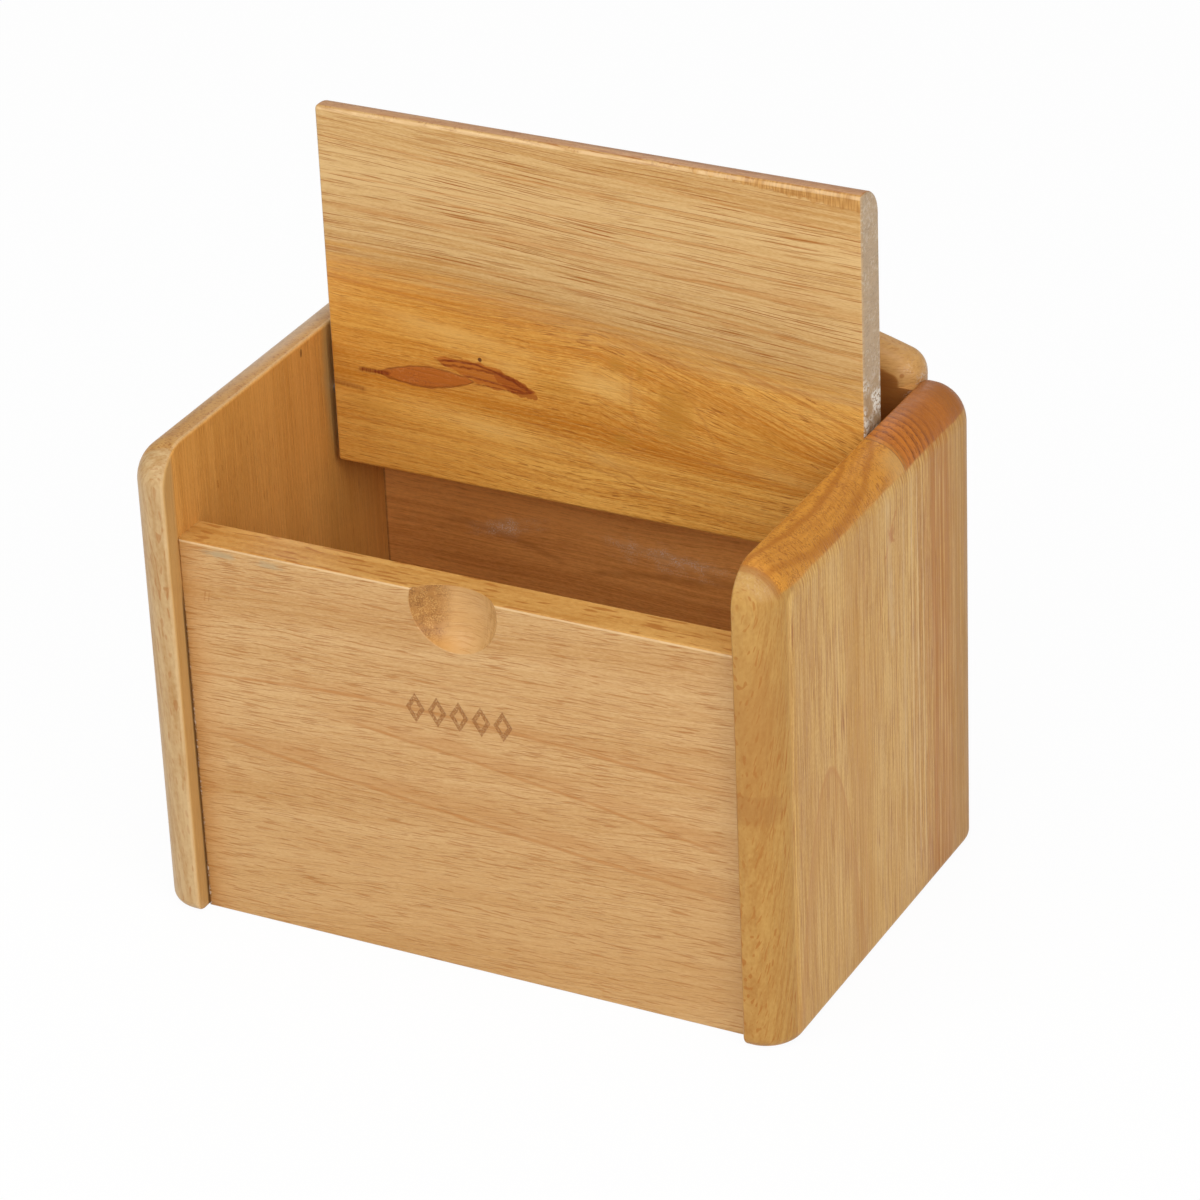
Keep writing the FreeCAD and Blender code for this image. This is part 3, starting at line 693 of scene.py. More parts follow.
    def raise_by(self, amount, *masks):
        """Raises the surface where all masks are high."""
        self.height = self.n.math("ADD", self.height, self.n.product(*masks, amount))

    def streaks(self, colour, rows):
        """Paints a table of streaks."""
        for start, end, width, bow, amount in rows:
            self.paint(colour, self.stroke(start, end, width, bow), amount=amount)

    def lines(self, colour, rate, edge, amount):
        """Paints thin lines along the fibre; rate is how often they come along, across and through."""
        lines = self.n.step(self.n.noise(self.place, rate, 1.0), edge, edge + 0.1)
        self.paint(colour, lines, amount=amount)
        self.raise_by(-0.5, lines)

    def finish(self, coat=0.03, shine=0.3):
        """Ends the material with the clear finish."""
        n = self.n
        cloud = n.noise(self.place, (0.05, 0.3, 0.3), 2.0)
        rough = n.math("ADD", n.math("MULTIPLY", cloud, 0.24), self.look.gloss - 0.12)
        inputs = {"Height": self.height, "Distance": self.look.relief, "Strength": 0.6}
        bump = n.node("ShaderNodeBump", inputs)
        shader = n.node("ShaderNodeBsdfPrincipled")
        n.feed(shader.inputs["Base Color"], self.colour)
        n.feed(shader.inputs["Roughness"], rough)
        n.feed(shader.inputs["Normal"], bump.outputs["Normal"])
        shader.inputs["Specular IOR Level"].default_value = shine
        shader.inputs["Coat Weight"].default_value = coat
        shader.inputs["Coat Roughness"].default_value = 0.3
        n.feed(n.node("ShaderNodeOutputMaterial").inputs["Surface"], shader.outputs[0])
        return self.material


def dress(names, material):
    """Gives CAD nodes a material."""
    for name in names:
        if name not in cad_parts:
            raise RuntimeError(f"there is no CAD node {name} to give its finish")
        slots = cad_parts[name].data.materials
        slots.clear()
        slots.append(material)


def aim(obj, target):
    """Turns a lamp towards a point."""
    obj.rotation_euler = (Vector(target) - obj.location).to_track_quat("-Z", "Y").to_euler()


class SALTBOX_OT_front(bpy.types.Operator):
    """Finishes the front panel: streaked pale wood, golden upper edge and scoop, and a burnt ornament"""

    bl_idname = "saltbox.front"
    bl_label = "Front panel"

    def lozenges(self, board):
        """Mask of the ornament, a row of lozenge outlines."""
        n, look = board.n, board.look
        pitch = look.ornament_width * MM_PER_M / LOZENGES
        half_height = look.ornament_height * MM_PER_M / 2
        across = n.math("DIVIDE", n.math("SUBTRACT", board.at["x"], ORNAMENT_PLACE[0]), pitch)
        cell = n.math(
            "ABSOLUTE", n.math("SUBTRACT", n.math("FRACT", n.math("ADD", across, LOZENGES / 2)), 0.5)
        )
        up = n.math("SUBTRACT", board.at["z"], ORNAMENT_PLACE[1])
        up = n.math("ABSOLUTE", n.math("DIVIDE", up, half_height))
        ring = n.math("ADD", n.math("MULTIPLY", cell, 2.3), up)
        line = n.step(n.math("ABSOLUTE", n.math("SUBTRACT", ring, 0.74)), 0.29, 0.20)
        scorch = n.step(n.noise(board.place, (2.2, 2.2, 2.2), 1.0), 0.25, 0.6)
        scorch = n.math("ADD", n.math("MULTIPLY", scorch, 0.65), 0.35)
        row = n.step(n.math("ABSOLUTE", across), LOZENGES / 2, LOZENGES / 2 - 0.01)
        face = board.past("y", FRONT_Y + 0.2, FRONT_Y + 0.1)
        return n.product(line, scorch, row, face)

    def add_face(self, board):
        """The long grain with its growth streaks, smudges, a tint towards the foot, painted shade and
        reflected light near the left side, and fine lines.
        """
        look = board.look
        board.lay(
            look.front_pale, look.front_deep, lines=0.22, pores=0.6, length=8.0, wander=5.0,
            shift=(40.0, 3.0, 9.0), angle=0.10
        )
        board.streaks(FRONT_STREAK, FRONT_STREAKS)
        for place, half, amount in FRONT_SMUDGES:
            board.paint(FRONT_SMUDGE, board.blot(place, half, ragged=0.6, fade=0.2), amount=amount)
        board.streaks(look.pore, FRONT_NICKS)
        board.paint(FRONT_LOW_TINT, board.past("z", 60.0, 5.0), amount=0.3)
        # Painted shade and reflected light: warmer and darker towards the corner with the left side.
        board.paint(FRONT_LEFT_BOUNCE_SHADE, board.past("x", -65.0, -INNER_X, ragged=3.0), amount=0.4)
        board.lines(FRONT_LINE, rate=(0.13, 2.3, 0.4), edge=0.595, amount=0.7)

    def add_edge(self, board):
        """The golden upper edge."""
        golden = board.fibre(
            board.look.front_edge, FRONT_EDGE_FIBRE, lines=0.4, pores=0.7, length=7.0, wander=3.0,
            shift=(11.0, 7.0, 2.0)
        )
        edge = board.past("z", FRONT_TOP_Z - 0.5, FRONT_TOP_Z - 0.25)
        board.paint(golden, edge)
        board.paint(FRONT_EDGE_SPECK, edge, board.specks(size=0.4, amount=0.5), amount=0.3)

    def add_scoop(self, board):
        """The finger scoop, with painted shade and grainy specks on its left wall, and a painted highlight
        along the arris of the upper edge.
        """
        n = board.n
        scoop = n.product(
            board.past("y", FRONT_Y + 0.04, FRONT_Y + 0.3),
            board.within("x", -SCOOP_REACH_X, SCOOP_REACH_X, soft=0.4),
            board.within("z", SCOOP_FOOT_Z, FRONT_TOP_Z - 0.4, soft=0.3)
        )
        board.paint(SCOOP_WOOD, scoop, amount=0.55)
        cut = n.step(n.noise(board.place, (1.6, 0.25, 0.4), 2.0), 0.4, 0.62)
        board.paint(SCOOP_CUT, scoop, cut, board.past("x", 5.5, 9.0), amount=0.6)
        # Painted shade on the scoop's left wall, which faces away from the key light, with grainy specks
        # over it.
        wall = n.product(scoop, board.past("x", -1.5, -7.0, ragged=0.8))
        board.paint(SCOOP_WALL_SHADE, wall, amount=0.85)
        board.paint(SCOOP_DARK_SPECK, wall, board.specks(size=0.4, amount=1.0), amount=0.6)
        board.paint(SCOOP_PALE_SPECK, wall, board.specks(size=0.33, amount=0.9), amount=0.4)
        board.paint(
            SCOOP_FOOT, scoop, board.past("z", 92.0, 89.0), board.past("x", 6.0, -4.0), amount=0.5
        )
        # Painted highlight along the arris of the upper edge.
        board.paint(
            FRONT_ARRIS_HIGHLIGHT, board.within("z", FRONT_TOP_Z - 0.7, FRONT_TOP_Z - 0.35, soft=0.12),
            board.past("y", FRONT_Y + 0.6, FRONT_Y + 0.3), amount=0.5
        )

    def add_joints(self, board):
        """Painted shade with dusty specks in the joint with the left side, darker towards the foot, and
        painted shade in the thin joint with the right side.
        """
        n = board.n
        rough_edge = board.past("x", -INNER_X + 1.0, -INNER_X + 0.3, ragged=0.5)
        low = board.past("z", 90.0, 80.0)
        board.paint(
            LEFT_JOINT_SHADE, rough_edge, n.math("ADD", n.math("MULTIPLY", low, 0.75), 0.1), amount=0.8
        )
        board.paint(board.look.dust_and_sheen, rough_edge, low, board.specks(size=0.7, amount=0.8), amount=0.8)
        board.paint(
            RIGHT_JOINT_SHADE, board.past("x", INNER_X - 0.45, INNER_X - 0.2, ragged=0.15),
            board.past("z", 60.0, 96.0), amount=0.8
        )

    def execute(self, context):
        board = Board("front_wood", "xzy", context.scene.salt_box)
        self.add_face(board)
        self.add_edge(board)
        self.add_scoop(board)
        ornament = self.lozenges(board)
        board.paint(board.look.burnt, ornament, amount=0.8)
        board.raise_by(-2.0, ornament)
        self.add_joints(board)
        dress(["front_panel"], board.finish())
        return {"FINISHED"}


class SALTBOX_OT_sides(bpy.types.Operator):
    """Finishes the left side and the two boards of the right side"""

    bl_idname = "saltbox.sides"
    bl_label = "Sides"

    def end_mask(self, board, sign):
        """Mask of the end grain on top of a side and on its foot; sign is the side's direction along X."""
        n = board.n
        outer = n.math("MULTIPLY", board.at["x"], sign)
        away = n.step(outer, INNER_X + 0.15, INNER_X + 0.6)
        top = n.product(
            board.past("z", SIDE_TOP_Z - 6.8, SIDE_TOP_Z - 5.9, ragged=0.5), away,
            board.past("y", FRONT_Y + 0.7, FRONT_Y + 1.7, ragged=0.5),
            board.past("y", REAR_Y - 4.8, REAR_Y - 6.3)
        )
        return n.math("ADD", top, board.past("z", 1.2, 0.4), clamp=True)

    def paint_inner(self, board, *masks):
        """The inner face of the right side's boards."""
        inner = board.fibre(
            board.look.side_inner, INNER_FIBRE, lines=0.5, pores=0.6, length=5.0, wander=3.0,
            shift=(9.0, 60.0, 5.0)
        )
        board.paint(inner, board.past("x", INNER_X + 0.5, INNER_X + 0.1), *masks)

    def add_flame_face(self, board):
        """The outer face of the right side's front board, with a flame in its grain and a small knot."""
        n, look = board.n, board.look
        board.lay(
            look.side_pale, look.side_deep, lines=0.30, pores=0.95, length=13.0, wander=2.4,
            shift=(0.0, 21.0, 4.0)
        )
        board.lines(SIDE_LINE, rate=(0.045, 1.9, 0.3), edge=0.57, amount=0.62)
        board.streaks(SIDE_BAND, SIDE_BANDS)
        board.paint(SIDE_LOW_TINT, board.past("z", 70.0, 10.0), amount=0.2)
        apex = n.math("SUBTRACT", board.at["y"], FLAME_PEAK[0])
        below = n.math("SUBTRACT", FLAME_PEAK[1], board.at["z"])
        flame = n.math("SUBTRACT", below, n.product(apex, apex, 0.17))
        board.paint(SIDE_FLAME, n.step(flame, -0.8, 0.6), n.step(flame, 30.0, 2.0), amount=0.42)
        board.paint(look.streak, n.step(flame, -1.2, 0.2), n.step(flame, 2.6, 0.8), amount=0.35)
        board.streaks(look.streak, SIDE_STREAKS)
        board.paint(
            SIDE_KNOT, board.blot((108.8, 6.2), (3.4, 1.5), angle=0.5, ragged=0.4, fade=0.2), amount=0.6
        )
        board.streaks(SIDE_PALE_STREAK, SIDE_PALE_STREAKS)

    def add_gold_edge(self, board):
        """The golden front edge of the right side."""
        n = board.n
        gold = board.fibre(
            board.look.side_gold, GOLD_FIBRE, lines=0.28, pores=0.7, length=5.0, wander=1.5,
            shift=(30.0, -8.0, 5.0), angle=0.14
        )
        strip = n.product(board.past("x", OUTER_X - 0.15, OUTER_X - 0.5), board.past("y", -46.0, -48.0))
        board.paint(gold, strip)
        board.paint(GOLD_SHADE, strip, board.blot((88, -57), (34, 8), ragged=0.5, fade=0.0), amount=0.52)
        board.paint(GOLD_BLOT, strip, board.blot((66, -57), (6, 5), ragged=0.6), amount=0.45)

    def add_right_top(self, board):
        """The end grain on top of the right side's front board, with its rings, corner and glue line."""
        n, look = board.n, board.look
        end = self.end_mask(board, 1.0)
        rings = board.end_grain(
            SIDE_RING_CENTRE, look.side_end, SIDE_END_DARK, spacing=5.6, rings=0.3, marks=0.8
        )
        board.paint(rings, end)
        board.paint(SIDE_END_SPECK, end, board.specks(size=0.36, amount=0.9), amount=0.6)
        flat = n.vector("MULTIPLY", board.moved(SIDE_RING_CENTRE), (0.0, 1.0, 1.0))
        waver = n.math("SUBTRACT", n.ripple(n.math("MULTIPLY", board.at["y"], 0.12), 2.0), 0.5)
        reach = n.math("ADD", n.measure("LENGTH", flat), n.math("MULTIPLY", waver, 1.6))
        for radius, width, amount in SIDE_RINGS:
            ring = n.step(n.math("ABSOLUTE", n.math("SUBTRACT", reach, radius)), width, 0.1)
            board.paint(SIDE_END_RING, end, ring, amount=amount)
        board.paint(
            SIDE_END_PALE, end, board.past("y", 4.0, GLUE_Y - 2.2), board.past("x", 80.0, 84.0),
            amount=0.6
        )
        corner = board.past("z", SIDE_TOP_Z - 8.1, SIDE_TOP_Z - 6.1)
        board.paint(
            CORNER_PALE, board.within("y", SIDE_FRONT_Y + 2.2, FRONT_Y + 0.1, soft=0.8), corner,
            amount=0.3
        )
        board.paint(
            look.dust_and_sheen, board.within("y", SIDE_FRONT_Y + 2.4, FRONT_Y + 0.9, soft=0.8), corner,
            board.specks(size=0.5, amount=0.8), amount=0.08
        )
        board.paint(
            CORNER_LINE, board.within("y", FRONT_Y + 0.3, FRONT_Y + 1.5, soft=0.5), corner, amount=0.6
        )
        board.paint(
            GLUE_LINE, board.past("y", GLUE_Y - 0.3, GLUE_Y - 0.05, ragged=0.1),
            board.past("z", SIDE_TOP_Z - 8.6, SIDE_TOP_Z - 5.6), amount=0.5
        )

    def right_front(self, look):
        """The golden front board of the right side."""
        board = Board("right_front_board_wood", "zyx", look)
        self.add_flame_face(board)
        self.add_gold_edge(board)
        self.paint_inner(board, board.past("y", FRONT_Y - 0.3, FRONT_Y + 0.3))
        self.add_right_top(board)
        return board.finish(coat=0.0, shine=0.22)

    def right_rear(self, look):
        """The red-brown rear board of the right side."""
        board = Board("right_rear_board_wood", "zyx", look)
        board.lay(
            look.side_pale, look.side_deep, lines=0.45, pores=0.95, length=13.0, wander=1.8,
            shift=(5.0, 3.0, 1.0)
        )
        board.lines(REAR_LINE, rate=(0.045, 1.9, 0.3), edge=0.56, amount=0.7)
        grain = board.n.step(board.n.noise(board.place, (0.012, 0.9, 0.3), 2.0), 0.3, 0.62)
        grain = board.n.math("ADD", board.n.math("MULTIPLY", grain, 0.7), 0.3)
        band = board.n.product(
            board.past("y", 23.0, 32.0, ragged=1.5), board.past("y", 46.0, 37.0, ragged=2.0)
        )
        board.paint(look.rear_band, band, grain)
        board.paint(REAR_BROWN, board.past("y", 36.0, 46.0, ragged=2.0), grain, amount=0.9)
        board.streaks(look.streak, REAR_STREAKS)
        board.streaks(REAR_PALE_STREAK, REAR_PALE_STREAKS)
        self.paint_inner(board)
        self.add_rear_top(board)
        return board.finish(coat=0.0, shine=0.22)

    def add_rear_top(self, board):
        """The ringed end grain on top of the right side's rear board."""
        look = board.look
        end = self.end_mask(board, 1.0)
        rings = board.end_grain(
            REAR_RING_CENTRE, look.rear_end, REAR_END_DARK, spacing=2.6, rings=0.75, marks=0.5
        )
        board.paint(rings, end)
        plain = board.fibre(
            REAR_END_PLAIN, REAR_END_FIBRE, lines=0.3, pores=0.5, length=3.0, wander=2.0,
            shift=(3.0, 9.0, 2.0)
        )
        board.paint(plain, end, board.past("y", 24.0, 36.0, ragged=3.0), amount=0.85)
        board.paint(REAR_END_EDGE, end, board.past("y", GLUE_Y + 2.2, GLUE_Y + 1.0), amount=0.35)
        board.paint(REAR_END_SHADE, end, board.past("y", 40.0, 47.0, ragged=2.0), amount=0.5)
        board.paint(look.pore, end, board.blot((122.4, 48.0), (2.0, 0.6), ragged=0.1), amount=0.8)
        board.paint(
            GLUE_LINE, board.past("y", GLUE_Y + 0.3, GLUE_Y + 0.05, ragged=0.1),
            board.past("z", SIDE_TOP_Z - 8.6, SIDE_TOP_Z - 5.6), amount=0.5
        )

    def add_left_faces(self, board):
        """The outer face, the front edge and the inner face of the left side."""
        look = board.look
        board.lay(
            look.side_pale, look.side_deep, lines=0.30, pores=0.75, length=9.0, wander=2.4,
            shift=(17.0, -9.0, 8.0)
        )
        board.lines(SIDE_LINE, rate=(0.045, 1.9, 0.3), edge=0.57, amount=0.62)
        front = board.fibre(
            LEFT_EDGE_PALE, LEFT_EDGE_FIBRE, lines=0.45, pores=0.5, length=4.0, wander=2.6,
            shift=(50.0, 2.0, 3.0), angle=0.05
        )
        board.paint(front, board.past("y", -46.0, -50.0))
        inner = board.fibre(
            look.side_inner, LEFT_INNER_FIBRE, lines=0.24, pores=0.4, length=6.0, wander=2.0,
            shift=(33.0, 11.0, 5.0)
        )
        inner_face = board.past("x", -INNER_X - 0.5, -INNER_X - 0.1)
        board.paint(inner, inner_face, board.past("y", FRONT_Y - 1.1, FRONT_Y + 0.7))
        board.paint(
            LEFT_INNER_EDGE, inner_face, board.past("y", FRONT_Y + 0.5, FRONT_Y - 0.7), amount=0.75
        )
        inside = board.n.product(inner_face, board.past("y", SIDE_FRONT_Y + 1.8, FRONT_Y - 1.7))
        board.paint(LEFT_SMUDGE, inside, board.blot((115, 24.0), (30, 6), ragged=0.4), amount=0.35)
        board.paint(LEFT_SPOT, inside, board.blot((125.2, 9.0), (1.4, 0.7), ragged=0.5), amount=0.7)
        board.streaks(look.pore, LEFT_NICKS)

    def add_left_top(self, board):
        """The end grain on top of the left side, dusty with a painted sheen on its outer rounding, a
        painted highlight on its inner arris, and painted shade in the gap at the front panel.
        """
        n = board.n
        end = self.end_mask(board, -1.0)
        rings = board.end_grain(
            LEFT_RING_CENTRE, LEFT_END, LEFT_END_DARK, spacing=4.2, rings=0.3, marks=0.8
        )
        board.paint(rings, end)
        # Dust and a painted sheen on the upper part of the outer rounding, towards the rear.
        board.paint(
            board.look.dust_and_sheen, end, board.within("x", -82.5, -79.5, soft=3.5), board.past("y", -40.0, 10.0),
            amount=0.34
        )
        # Painted highlight along the inner arris of the top and the front edge.
        arris = n.product(
            board.past("x", -INNER_X - 1.1, -INNER_X - 0.7), board.past("x", -INNER_X, -INNER_X - 0.3)
        )
        rim = n.math(
            "MAXIMUM", board.past("z", SIDE_TOP_Z - 1.1, SIDE_TOP_Z - 0.6),
            board.past("y", SIDE_FRONT_Y + 0.9, SIDE_FRONT_Y + 0.5)
        )
        board.paint(LEFT_ARRIS_HIGHLIGHT, arris, rim, amount=0.3)
        # Painted shade: a near-black line in the gap between the inner face and the front panel, fading out
        # towards the top.
        board.paint(
            LEFT_JOINT_GAP_SHADE, board.past("x", -INNER_X - 0.2, -INNER_X - 0.02),
            board.within("y", FRONT_Y - 0.3, FRONT_Y + 0.5, soft=0.15),
            board.past("z", 92.0, 84.0, ragged=3.0), amount=0.6
        )

    def left(self, look):
        """The left side."""
        board = Board("left_side_wood", "zyx", look)
        self.add_left_faces(board)
        self.add_left_top(board)
        return board.finish(coat=0.0, shine=0.22)

    def execute(self, context):
        look = context.scene.salt_box
        dress(["right_side_front_board"], self.right_front(look))
        dress(["right_side_rear_board"], self.right_rear(look))
        dress(["left_side"], self.left(look))
        return {"FINISHED"}


class SALTBOX_OT_back_and_base(bpy.types.Operator):
    """Finishes the arched back panel and the base panel"""

    bl_idname = "saltbox.back_and_base"
    bl_label = "Back and base"

    def back(self, look):
        """The arched back panel."""
        board = Board("back_wood", "xzy", look)
        board.lay(
            look.back_pale, ARCH_FIBRE, lines=0.16, pores=0.35, length=4.0, wander=4.0,
            shift=(2.0, 31.0, 7.0)
        )
        rear = board.fibre(
            look.back_pale, BACK_REAR_FIBRE, lines=0.42, pores=0.8, length=9.0, wander=6.0,
            shift=(5.0, 44.0, 2.0), angle=0.04
        )
        board.paint(rear, board.past("y", REAR_Y - 0.8, REAR_Y - 0.2))
        board.streaks(look.streak, BACK_STREAKS)
        self.add_inside(board)
        self.add_corner_marks(board)
        return board.finish()

    def add_inside(self, board):
        """The panel's darker face inside the box, with painted shade from the lid at its top and in its
        right corner, streaks and dusty wisps.
        """
        inside = board.past("y", BACK_Y + 0.3, BACK_Y + 0.1)
        inner = board.fibre(
            board.look.back_deep, BACK_FIBRE, lines=0.26, pores=0.4, length=6.0, wander=7.0,
            shift=(70.0, 13.0, 3.0)
        )
        board.paint(inner, inside)
        # Painted shade under the lid: a dark corner on the right and a darker upper part of the face.
        board.paint(
            BACK_CORNER_SHADE, inside, board.past("z", 108.0, 120.0), board.past("x", 55.0, 68.0),
            amount=0.8
        )
        board.paint(BACK_HIGH_SHADE, inside, board.past("z", 104.0, 118.0), amount=0.35)
        board.paint(
            BACK_LEFT_STREAK, inside, board.stroke((-60, 66.0), (-20, 58.0), width=3.0, bow=2.0),
            amount=0.4
        )
        board.paint(
            BACK_MIDDLE_STREAK, inside, board.stroke((-20, 57.0), (40, 62.0), width=3.0, bow=2.0),
            amount=0.4
        )
        left_wisp = board.blot((-40, 66), (14, 4), angle=0.25, ragged=0.9, fade=-0.4)
        right_wisp = board.blot((8, 66), (26, 5), angle=-0.08, ragged=0.9, fade=-0.4)
        wisps = board.n.math("MAXIMUM", left_wisp, right_wisp)
        board.paint(BACK_WISP, inside, wisps, amount=0.32)
        board.paint(BACK_WISP_SPECK, inside, wisps, board.specks(size=0.45, amount=0.9), amount=0.7)
        board.paint(
            BACK_JOINT_SHADE, inside, board.past("x", -INNER_X + 0.7, -INNER_X + 0.2, ragged=0.2),
            amount=0.5
        )

    def add_corner_marks(self, board):
        """A pore and the worn, dusty end of the arch on the right."""
        look = board.look
        board.paint(look.pore, board.blot((71.5, 129.6), (0.7, 0.7), ragged=0.1), amount=0.7)
        board.paint(
            look.dust_and_sheen, board.past("x", 71.4, INNER_X - 0.6, ragged=0.8), board.past("z", 120.0, 126.0),
            board.specks(size=0.6, amount=0.9), amount=0.6
        )

    def base(self, look):
        """The base panel."""
        board = Board("base_wood", "xyz", look)
        board.lay(
            look.base_pale, look.base_deep, lines=0.4, pores=0.6, length=5.0, wander=4.0,
            shift=(8.0, 2.0, 1.0)
        )
        board.streaks(look.streak, BASE_STREAKS)
        return board.finish()

    def execute(self, context):
        look = context.scene.salt_box
        dress(["back_panel"], self.back(look))
        dress(["base_panel"], self.base(look))
        return {"FINISHED"}


class SALTBOX_OT_lid(bpy.types.Operator):
    """Finishes the lid: long grain, an amber lower part, a filled knot and raw ends"""

    bl_idname = "saltbox.lid"
    bl_label = "Lid"

    def add_knot(self, board):
        """The filled knot with its tail, branch and cracks."""
        n = board.n
        face = board.past("y", LID_Y + 1.6, LID_Y + 0.6)
        board.paint(
            KNOT_HALO, face, board.blot((-42.0, 119.6), (26, 5.6), angle=0.05, ragged=0.4, fade=0.0),
            amount=0.5
        )
        board.paint(
            KNOT_CRACK, face, board.spindle((-46.4, 118.8), (14.8, 3.2), angle=0.085, ragged=0.12),
            amount=0.7
        )
        body = n.product(face, board.spindle((-46.2, 118.8), (14.0, 2.7), angle=0.085, ragged=0.12))
        board.paint(board.look.knot, body, amount=0.95)
        board.paint(KNOT_DARK_SPECK, body, board.specks(size=0.6, amount=0.75), amount=0.5)
        board.paint(KNOT_PALE_SPECK, body, board.specks(size=0.9, amount=0.6), amount=0.35)
        board.raise_by(0.8, body)
        board.paint(
            KNOT_TAIL, face, board.spindle((-29.5, 122.4), (15.0, 3.0), angle=-0.16, ragged=0.3),
            amount=0.8
        )
        board.paint(
            KNOT_TIP, face, board.spindle((-21.0, 120.8), (7.0, 2.2), angle=-0.35, ragged=0.4),
            amount=0.75
        )
        for start, end, width, bow, ragged, amount in KNOT_CRACKS:
            line = n.product(face, board.stroke(start, end, width=width, bow=bow, ragged=ragged))
            board.paint(KNOT_CRACK, line, amount=amount)
        board.paint(
            KNOT_HOLE, face, board.blot((-30.7, 126.4), (0.7, 0.7), ragged=0.15, fade=0.6), amount=0.9
        )

    def add_nose(self, board):
        """The hatched band under the front edge, a painted highlight on the edge's arris, and its reddish
        rounding.
        """
        n = board.n
        fall = n.math("ADD", board.at["z"], n.math("MULTIPLY", board.at["x"], HATCH_FALL))
        waver = n.math("SUBTRACT", n.ripple(n.math("MULTIPLY", board.at["x"], 0.45), 2.0), 0.5)
        band = n.step(n.math("ADD", fall, n.math("MULTIPLY", waver, 2.4)), *HATCH_BORDER_Z)
        band = n.product(band, board.past("x", -6.0, 30.0))
        hatch = n.step(n.noise(board.place, (2.4, 0.2, 0.2), 1.0), 0.38, 0.6)
        board.paint(HATCH_BAND, band, amount=0.8)
        board.paint(HATCH_MARK, band, hatch, amount=0.65)
        nose = board.fibre(
            NOSE_PALE, NOSE_FIBRE, lines=0.45, pores=0.8, length=7.0, wander=2.0, shift=(4.0, 15.0, 3.0)
        )
        board.paint(
            nose, board.past("y", LID_Y + 0.5, LID_Y + 1.1),
            board.past("z", LID_TOP_Z - 5.4, LID_TOP_Z - 0.8), amount=0.9
        )
        board.paint(
            NOSE_SPECK, board.past("z", LID_TOP_Z - 1.2, LID_TOP_Z - 0.4),
            board.specks(size=0.7, amount=0.7), amount=0.5
        )
        # Painted highlight along the arris of the front edge, broken up along X by a ripple.
        arris = n.product(
            board.within("z", LID_TOP_Z - 0.9, LID_TOP_Z - 0.3, soft=0.2),
            board.past("y", LID_Y + 0.6, LID_Y + 0.4)
        )
        worn = n.step(n.ripple(n.math("MULTIPLY", board.at["x"], 0.12), 2.0), 0.2, 0.6)
        board.paint(LID_ARRIS_HIGHLIGHT, arris, worn, amount=0.45)

    def add_amber(self, board):
        """The amber lower part, whose fibre fans out to the right."""
        n = board.n
        fan = n.math("MAXIMUM", n.math("SUBTRACT", board.at["x"], 2.0), 0.0)
        fan = n.product(fan, board.past("z", 100.0, 118.0), 0.30)
        straight, board.place = board.place, n.vector("ADD", board.place, n.combine(0.0, fan, 0.0))
        amber = board.fibre(
            board.look.lid_amber, AMBER_FIBRE, lines=0.30, pores=0.8, length=4.5, wander=9.0,
            shift=(60.0, 4.0, 4.0), angle=-0.03
        )
        board.place = straight
        slope = n.math("ADD", board.at["z"], n.math("MULTIPLY", board.at["x"], AMBER_FALL))
        waver = n.math(
            "MULTIPLY", n.math("SUBTRACT", n.noise(board.place, (0.016, 0.4, 0.1), 3.0), 0.5), 14.0
        )
        low = n.step(n.math("ADD", slope, waver), *AMBER_BORDER_Z)
        board.paint(amber, low)
        board.paint(AMBER_LEFT_TINT, low, board.past("x", 0.0, -45.0), amount=0.3)

    def add_marks(self, board):
        """Streaks, patches and nicks of the grain."""
        board.streaks(board.look.streak, LID_STREAKS)
        for place, half, amount in AMBER_PALE_PATCHES:
            board.paint(
                AMBER_PALE, board.blot(place, half, angle=-0.12, ragged=0.6, fade=-0.2), amount=amount
            )
        for place, half, amount in AMBER_DARK_PATCHES:
            board.paint(
                AMBER_DARK, board.blot(place, half, angle=-0.1, ragged=0.5, fade=0.1), amount=amount
            )
        board.streaks(board.look.pore, LID_NICKS)

    def add_ends(self, board):
        """The raw ends, with crumbs of salt at the foot of the right one."""
        n = board.n
        end = n.math(
            "ADD", board.past("x", LID_X - 0.45, LID_X - 0.2),
            board.past("x", -LID_X + 0.45, -LID_X + 0.2), clamp=True
        )
        raw = board.end_grain(
            LID_RING_CENTRE, board.look.lid_end, LID_END_DARK, spacing=9.0, rings=0.15, marks=0.5
        )
        board.paint(raw, end)
        board.paint(LID_END_SPECK, end, board.specks(size=0.8, amount=0.8), amount=0.4)
        salt = n.product(
            end, board.past("x", 0.0, 1.0), board.specks(size=0.7, amount=1.2),
            board.past("z", 143.0, 133.0)
        )
        board.paint(SALT_CRUMB, salt, amount=0.95)
        board.raise_by(2.5, salt)

    def execute(self, context):
        look = context.scene.salt_box
        board = Board("lid_wood", "xzy", look)
        board.lay(
            look.lid_pale, look.lid_deep, lines=0.32, pores=0.9, length=18.0, wander=4.5,
            shift=(20.0, 9.0, 4.0), angle=-0.05
        )
        board.lines(LID_LINE, rate=(0.06, 1.5, 0.4), edge=0.60, amount=0.58)
        self.add_amber(board)
        self.add_marks(board)
        self.add_knot(board)
        self.add_nose(board)
        self.add_ends(board)
        dress(["lid"], board.finish())
        return {"FINISHED"}


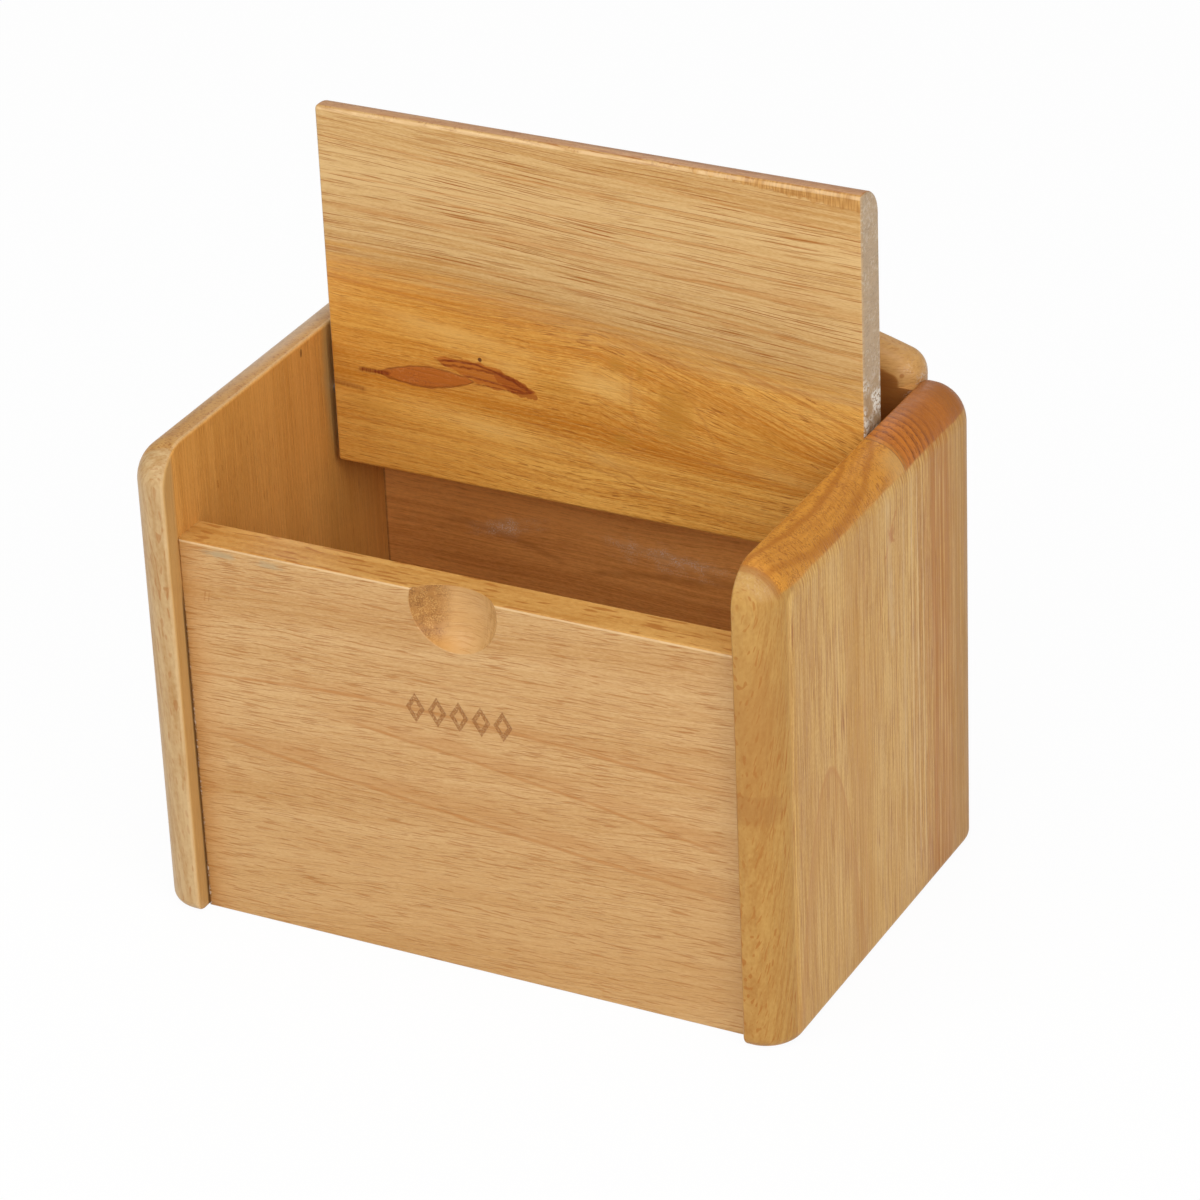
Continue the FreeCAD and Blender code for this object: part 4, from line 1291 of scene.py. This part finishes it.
class SALTBOX_OT_fixings(bpy.types.Operator):
    """Finishes the dowels and the hinge pins"""

    bl_idname = "saltbox.fixings"
    bl_label = "Dowels and pins"

    def execute(self, context):
        look = context.scene.salt_box
        board = Board("dowel_wood", "xyz", look)
        board.lay(look.dowel_pale, DOWEL_FIBRE, lines=0.5, pores=0.4, length=3.0, wander=1.0)
        dress(DOWELS, board.finish(coat=0.0))

        steel = Board("pin_steel", "xyz", look)
        n = steel.n
        brushed = n.noise(steel.place, (0.15, 9.0, 9.0), 2.0)
        shader = n.node("ShaderNodeBsdfPrincipled")
        n.feed(shader.inputs["Base Color"], n.mix(brushed, look.steel, STEEL_BRUSHED))
        n.feed(shader.inputs["Roughness"], n.step(brushed, -0.4, 1.8))
        shader.inputs["Metallic"].default_value = 1.0
        n.feed(n.node("ShaderNodeOutputMaterial").inputs["Surface"], shader.outputs[0])
        dress(PINS, steel.material)
        return {"FINISHED"}


class SALTBOX_OT_stage(bpy.types.Operator):
    """Makes the floor, the soft light and the camera"""

    bl_idname = "saltbox.stage"
    bl_label = "Stage"

    def floor(self, scene, size):
        """A white floor that takes only a soft shadow."""
        mesh = bpy.data.meshes.new("floor")
        shape = bmesh.new()
        bmesh.ops.create_grid(shape, x_segments=1, y_segments=1, size=size / 2)
        shape.to_mesh(mesh)
        shape.free()
        floor = bpy.data.objects.new("floor", mesh)
        scene.collection.objects.link(floor)
        material = bpy.data.materials.new("floor_white")
        material.use_nodes = True
        material.node_tree.nodes.clear()
        n = Nodes(material.node_tree)
        paths = n.node("ShaderNodeLightPath").outputs
        seen = n.math("MAXIMUM", paths["Is Glossy Ray"], paths["Is Transmission Ray"])
        seen = n.math("MAXIMUM", paths["Is Camera Ray"], seen)
        paper = n.node("ShaderNodeBsdfDiffuse", {"Color": PAPER}).outputs[0]
        white = n.node("ShaderNodeEmission", {"Color": WHITE, "Strength": 1.0}).outputs[0]
        share = n.math("MULTIPLY", seen, FLOOR_GLOW_SHARE)
        glow = n.node("ShaderNodeMixShader", {0: share, 1: paper, 2: white}).outputs[0]
        n.feed(n.node("ShaderNodeOutputMaterial").inputs["Surface"], glow)
        mesh.materials.append(material)

    def world(self, scene):
        """A white backdrop with softer light."""
        world = bpy.data.worlds.new("studio")
        scene.world = world
        world.use_nodes = True
        world.node_tree.nodes.clear()
        n = Nodes(world.node_tree)
        seen = n.node("ShaderNodeLightPath").outputs["Is Camera Ray"]
        soft = n.node("ShaderNodeBackground", {"Color": SKY, "Strength": SKY_STRENGTH}).outputs[0]
        white = n.node("ShaderNodeBackground", {"Color": WHITE, "Strength": 1.0}).outputs[0]
        both = n.node("ShaderNodeMixShader", {0: seen, 1: soft, 2: white}).outputs[0]
        n.feed(n.node("ShaderNodeOutputWorld").inputs["Surface"], both)

    def lamp(self, scene, name, place, size, power):
        """A round soft lamp that points at the box."""
        light = bpy.data.lights.new(name, "AREA")
        light.shape = "DISK"
        light.size = size
        light.energy = power
        lamp = bpy.data.objects.new(name, light)
        scene.collection.objects.link(lamp)
        lamp.location = place
        aim(lamp, LAMP_TARGET)

    def camera(self, scene):
        """The camera at the photograph's viewing angle."""
        data = bpy.data.cameras.new("camera")
        data.sensor_width = CAMERA_SENSOR
        data.lens = CAMERA_LENS
        camera = bpy.data.objects.new("camera", data)
        scene.collection.objects.link(camera)
        axes = Matrix((CAMERA_RIGHT, -Vector(CAMERA_DOWN), -Vector(CAMERA_FORWARD))).transposed()
        camera.matrix_world = Matrix.Translation(CAMERA_PLACE) @ axes.to_4x4()
        scene.camera = camera

    def execute(self, context):
        scene = context.scene
        look = scene.salt_box
        scene.view_settings.view_transform = "Standard"
        self.floor(scene, look.floor_size)
        self.world(scene)
        for name, place, size, setting in LAMPS:
            self.lamp(scene, name, place, size, getattr(look, setting))
        self.camera(scene)
        return {"FINISHED"}


class SALTBOX_PT_panel(bpy.types.Panel):
    """Lists the finishes and their settings"""

    bl_idname = "SALTBOX_PT_panel"
    bl_label = "Salt box"
    bl_space_type = "VIEW_3D"
    bl_region_type = "UI"
    bl_category = "Salt box"

    def draw(self, context):
        for operator in OPERATORS:
            self.layout.operator(operator.bl_idname)
        for name in SaltBoxLook.__annotations__:
            self.layout.prop(context.scene.salt_box, name)


OPERATORS = (
    SALTBOX_OT_front, SALTBOX_OT_sides, SALTBOX_OT_back_and_base,
    SALTBOX_OT_lid, SALTBOX_OT_fixings, SALTBOX_OT_stage,
)
CLASSES = (SaltBoxLook, *OPERATORS, SALTBOX_PT_panel)


def register():
    for item in CLASSES:
        bpy.utils.register_class(item)
    bpy.types.Scene.salt_box = PointerProperty(type=SaltBoxLook)


def unregister():
    del bpy.types.Scene.salt_box
    for item in reversed(CLASSES):
        bpy.utils.unregister_class(item)


def main():
    register()
    bpy.ops.saltbox.front()
    bpy.ops.saltbox.sides()
    bpy.ops.saltbox.back_and_base()
    bpy.ops.saltbox.lid()
    bpy.ops.saltbox.fixings()
    bpy.ops.saltbox.stage()


if __name__ == "__main__":
    main()
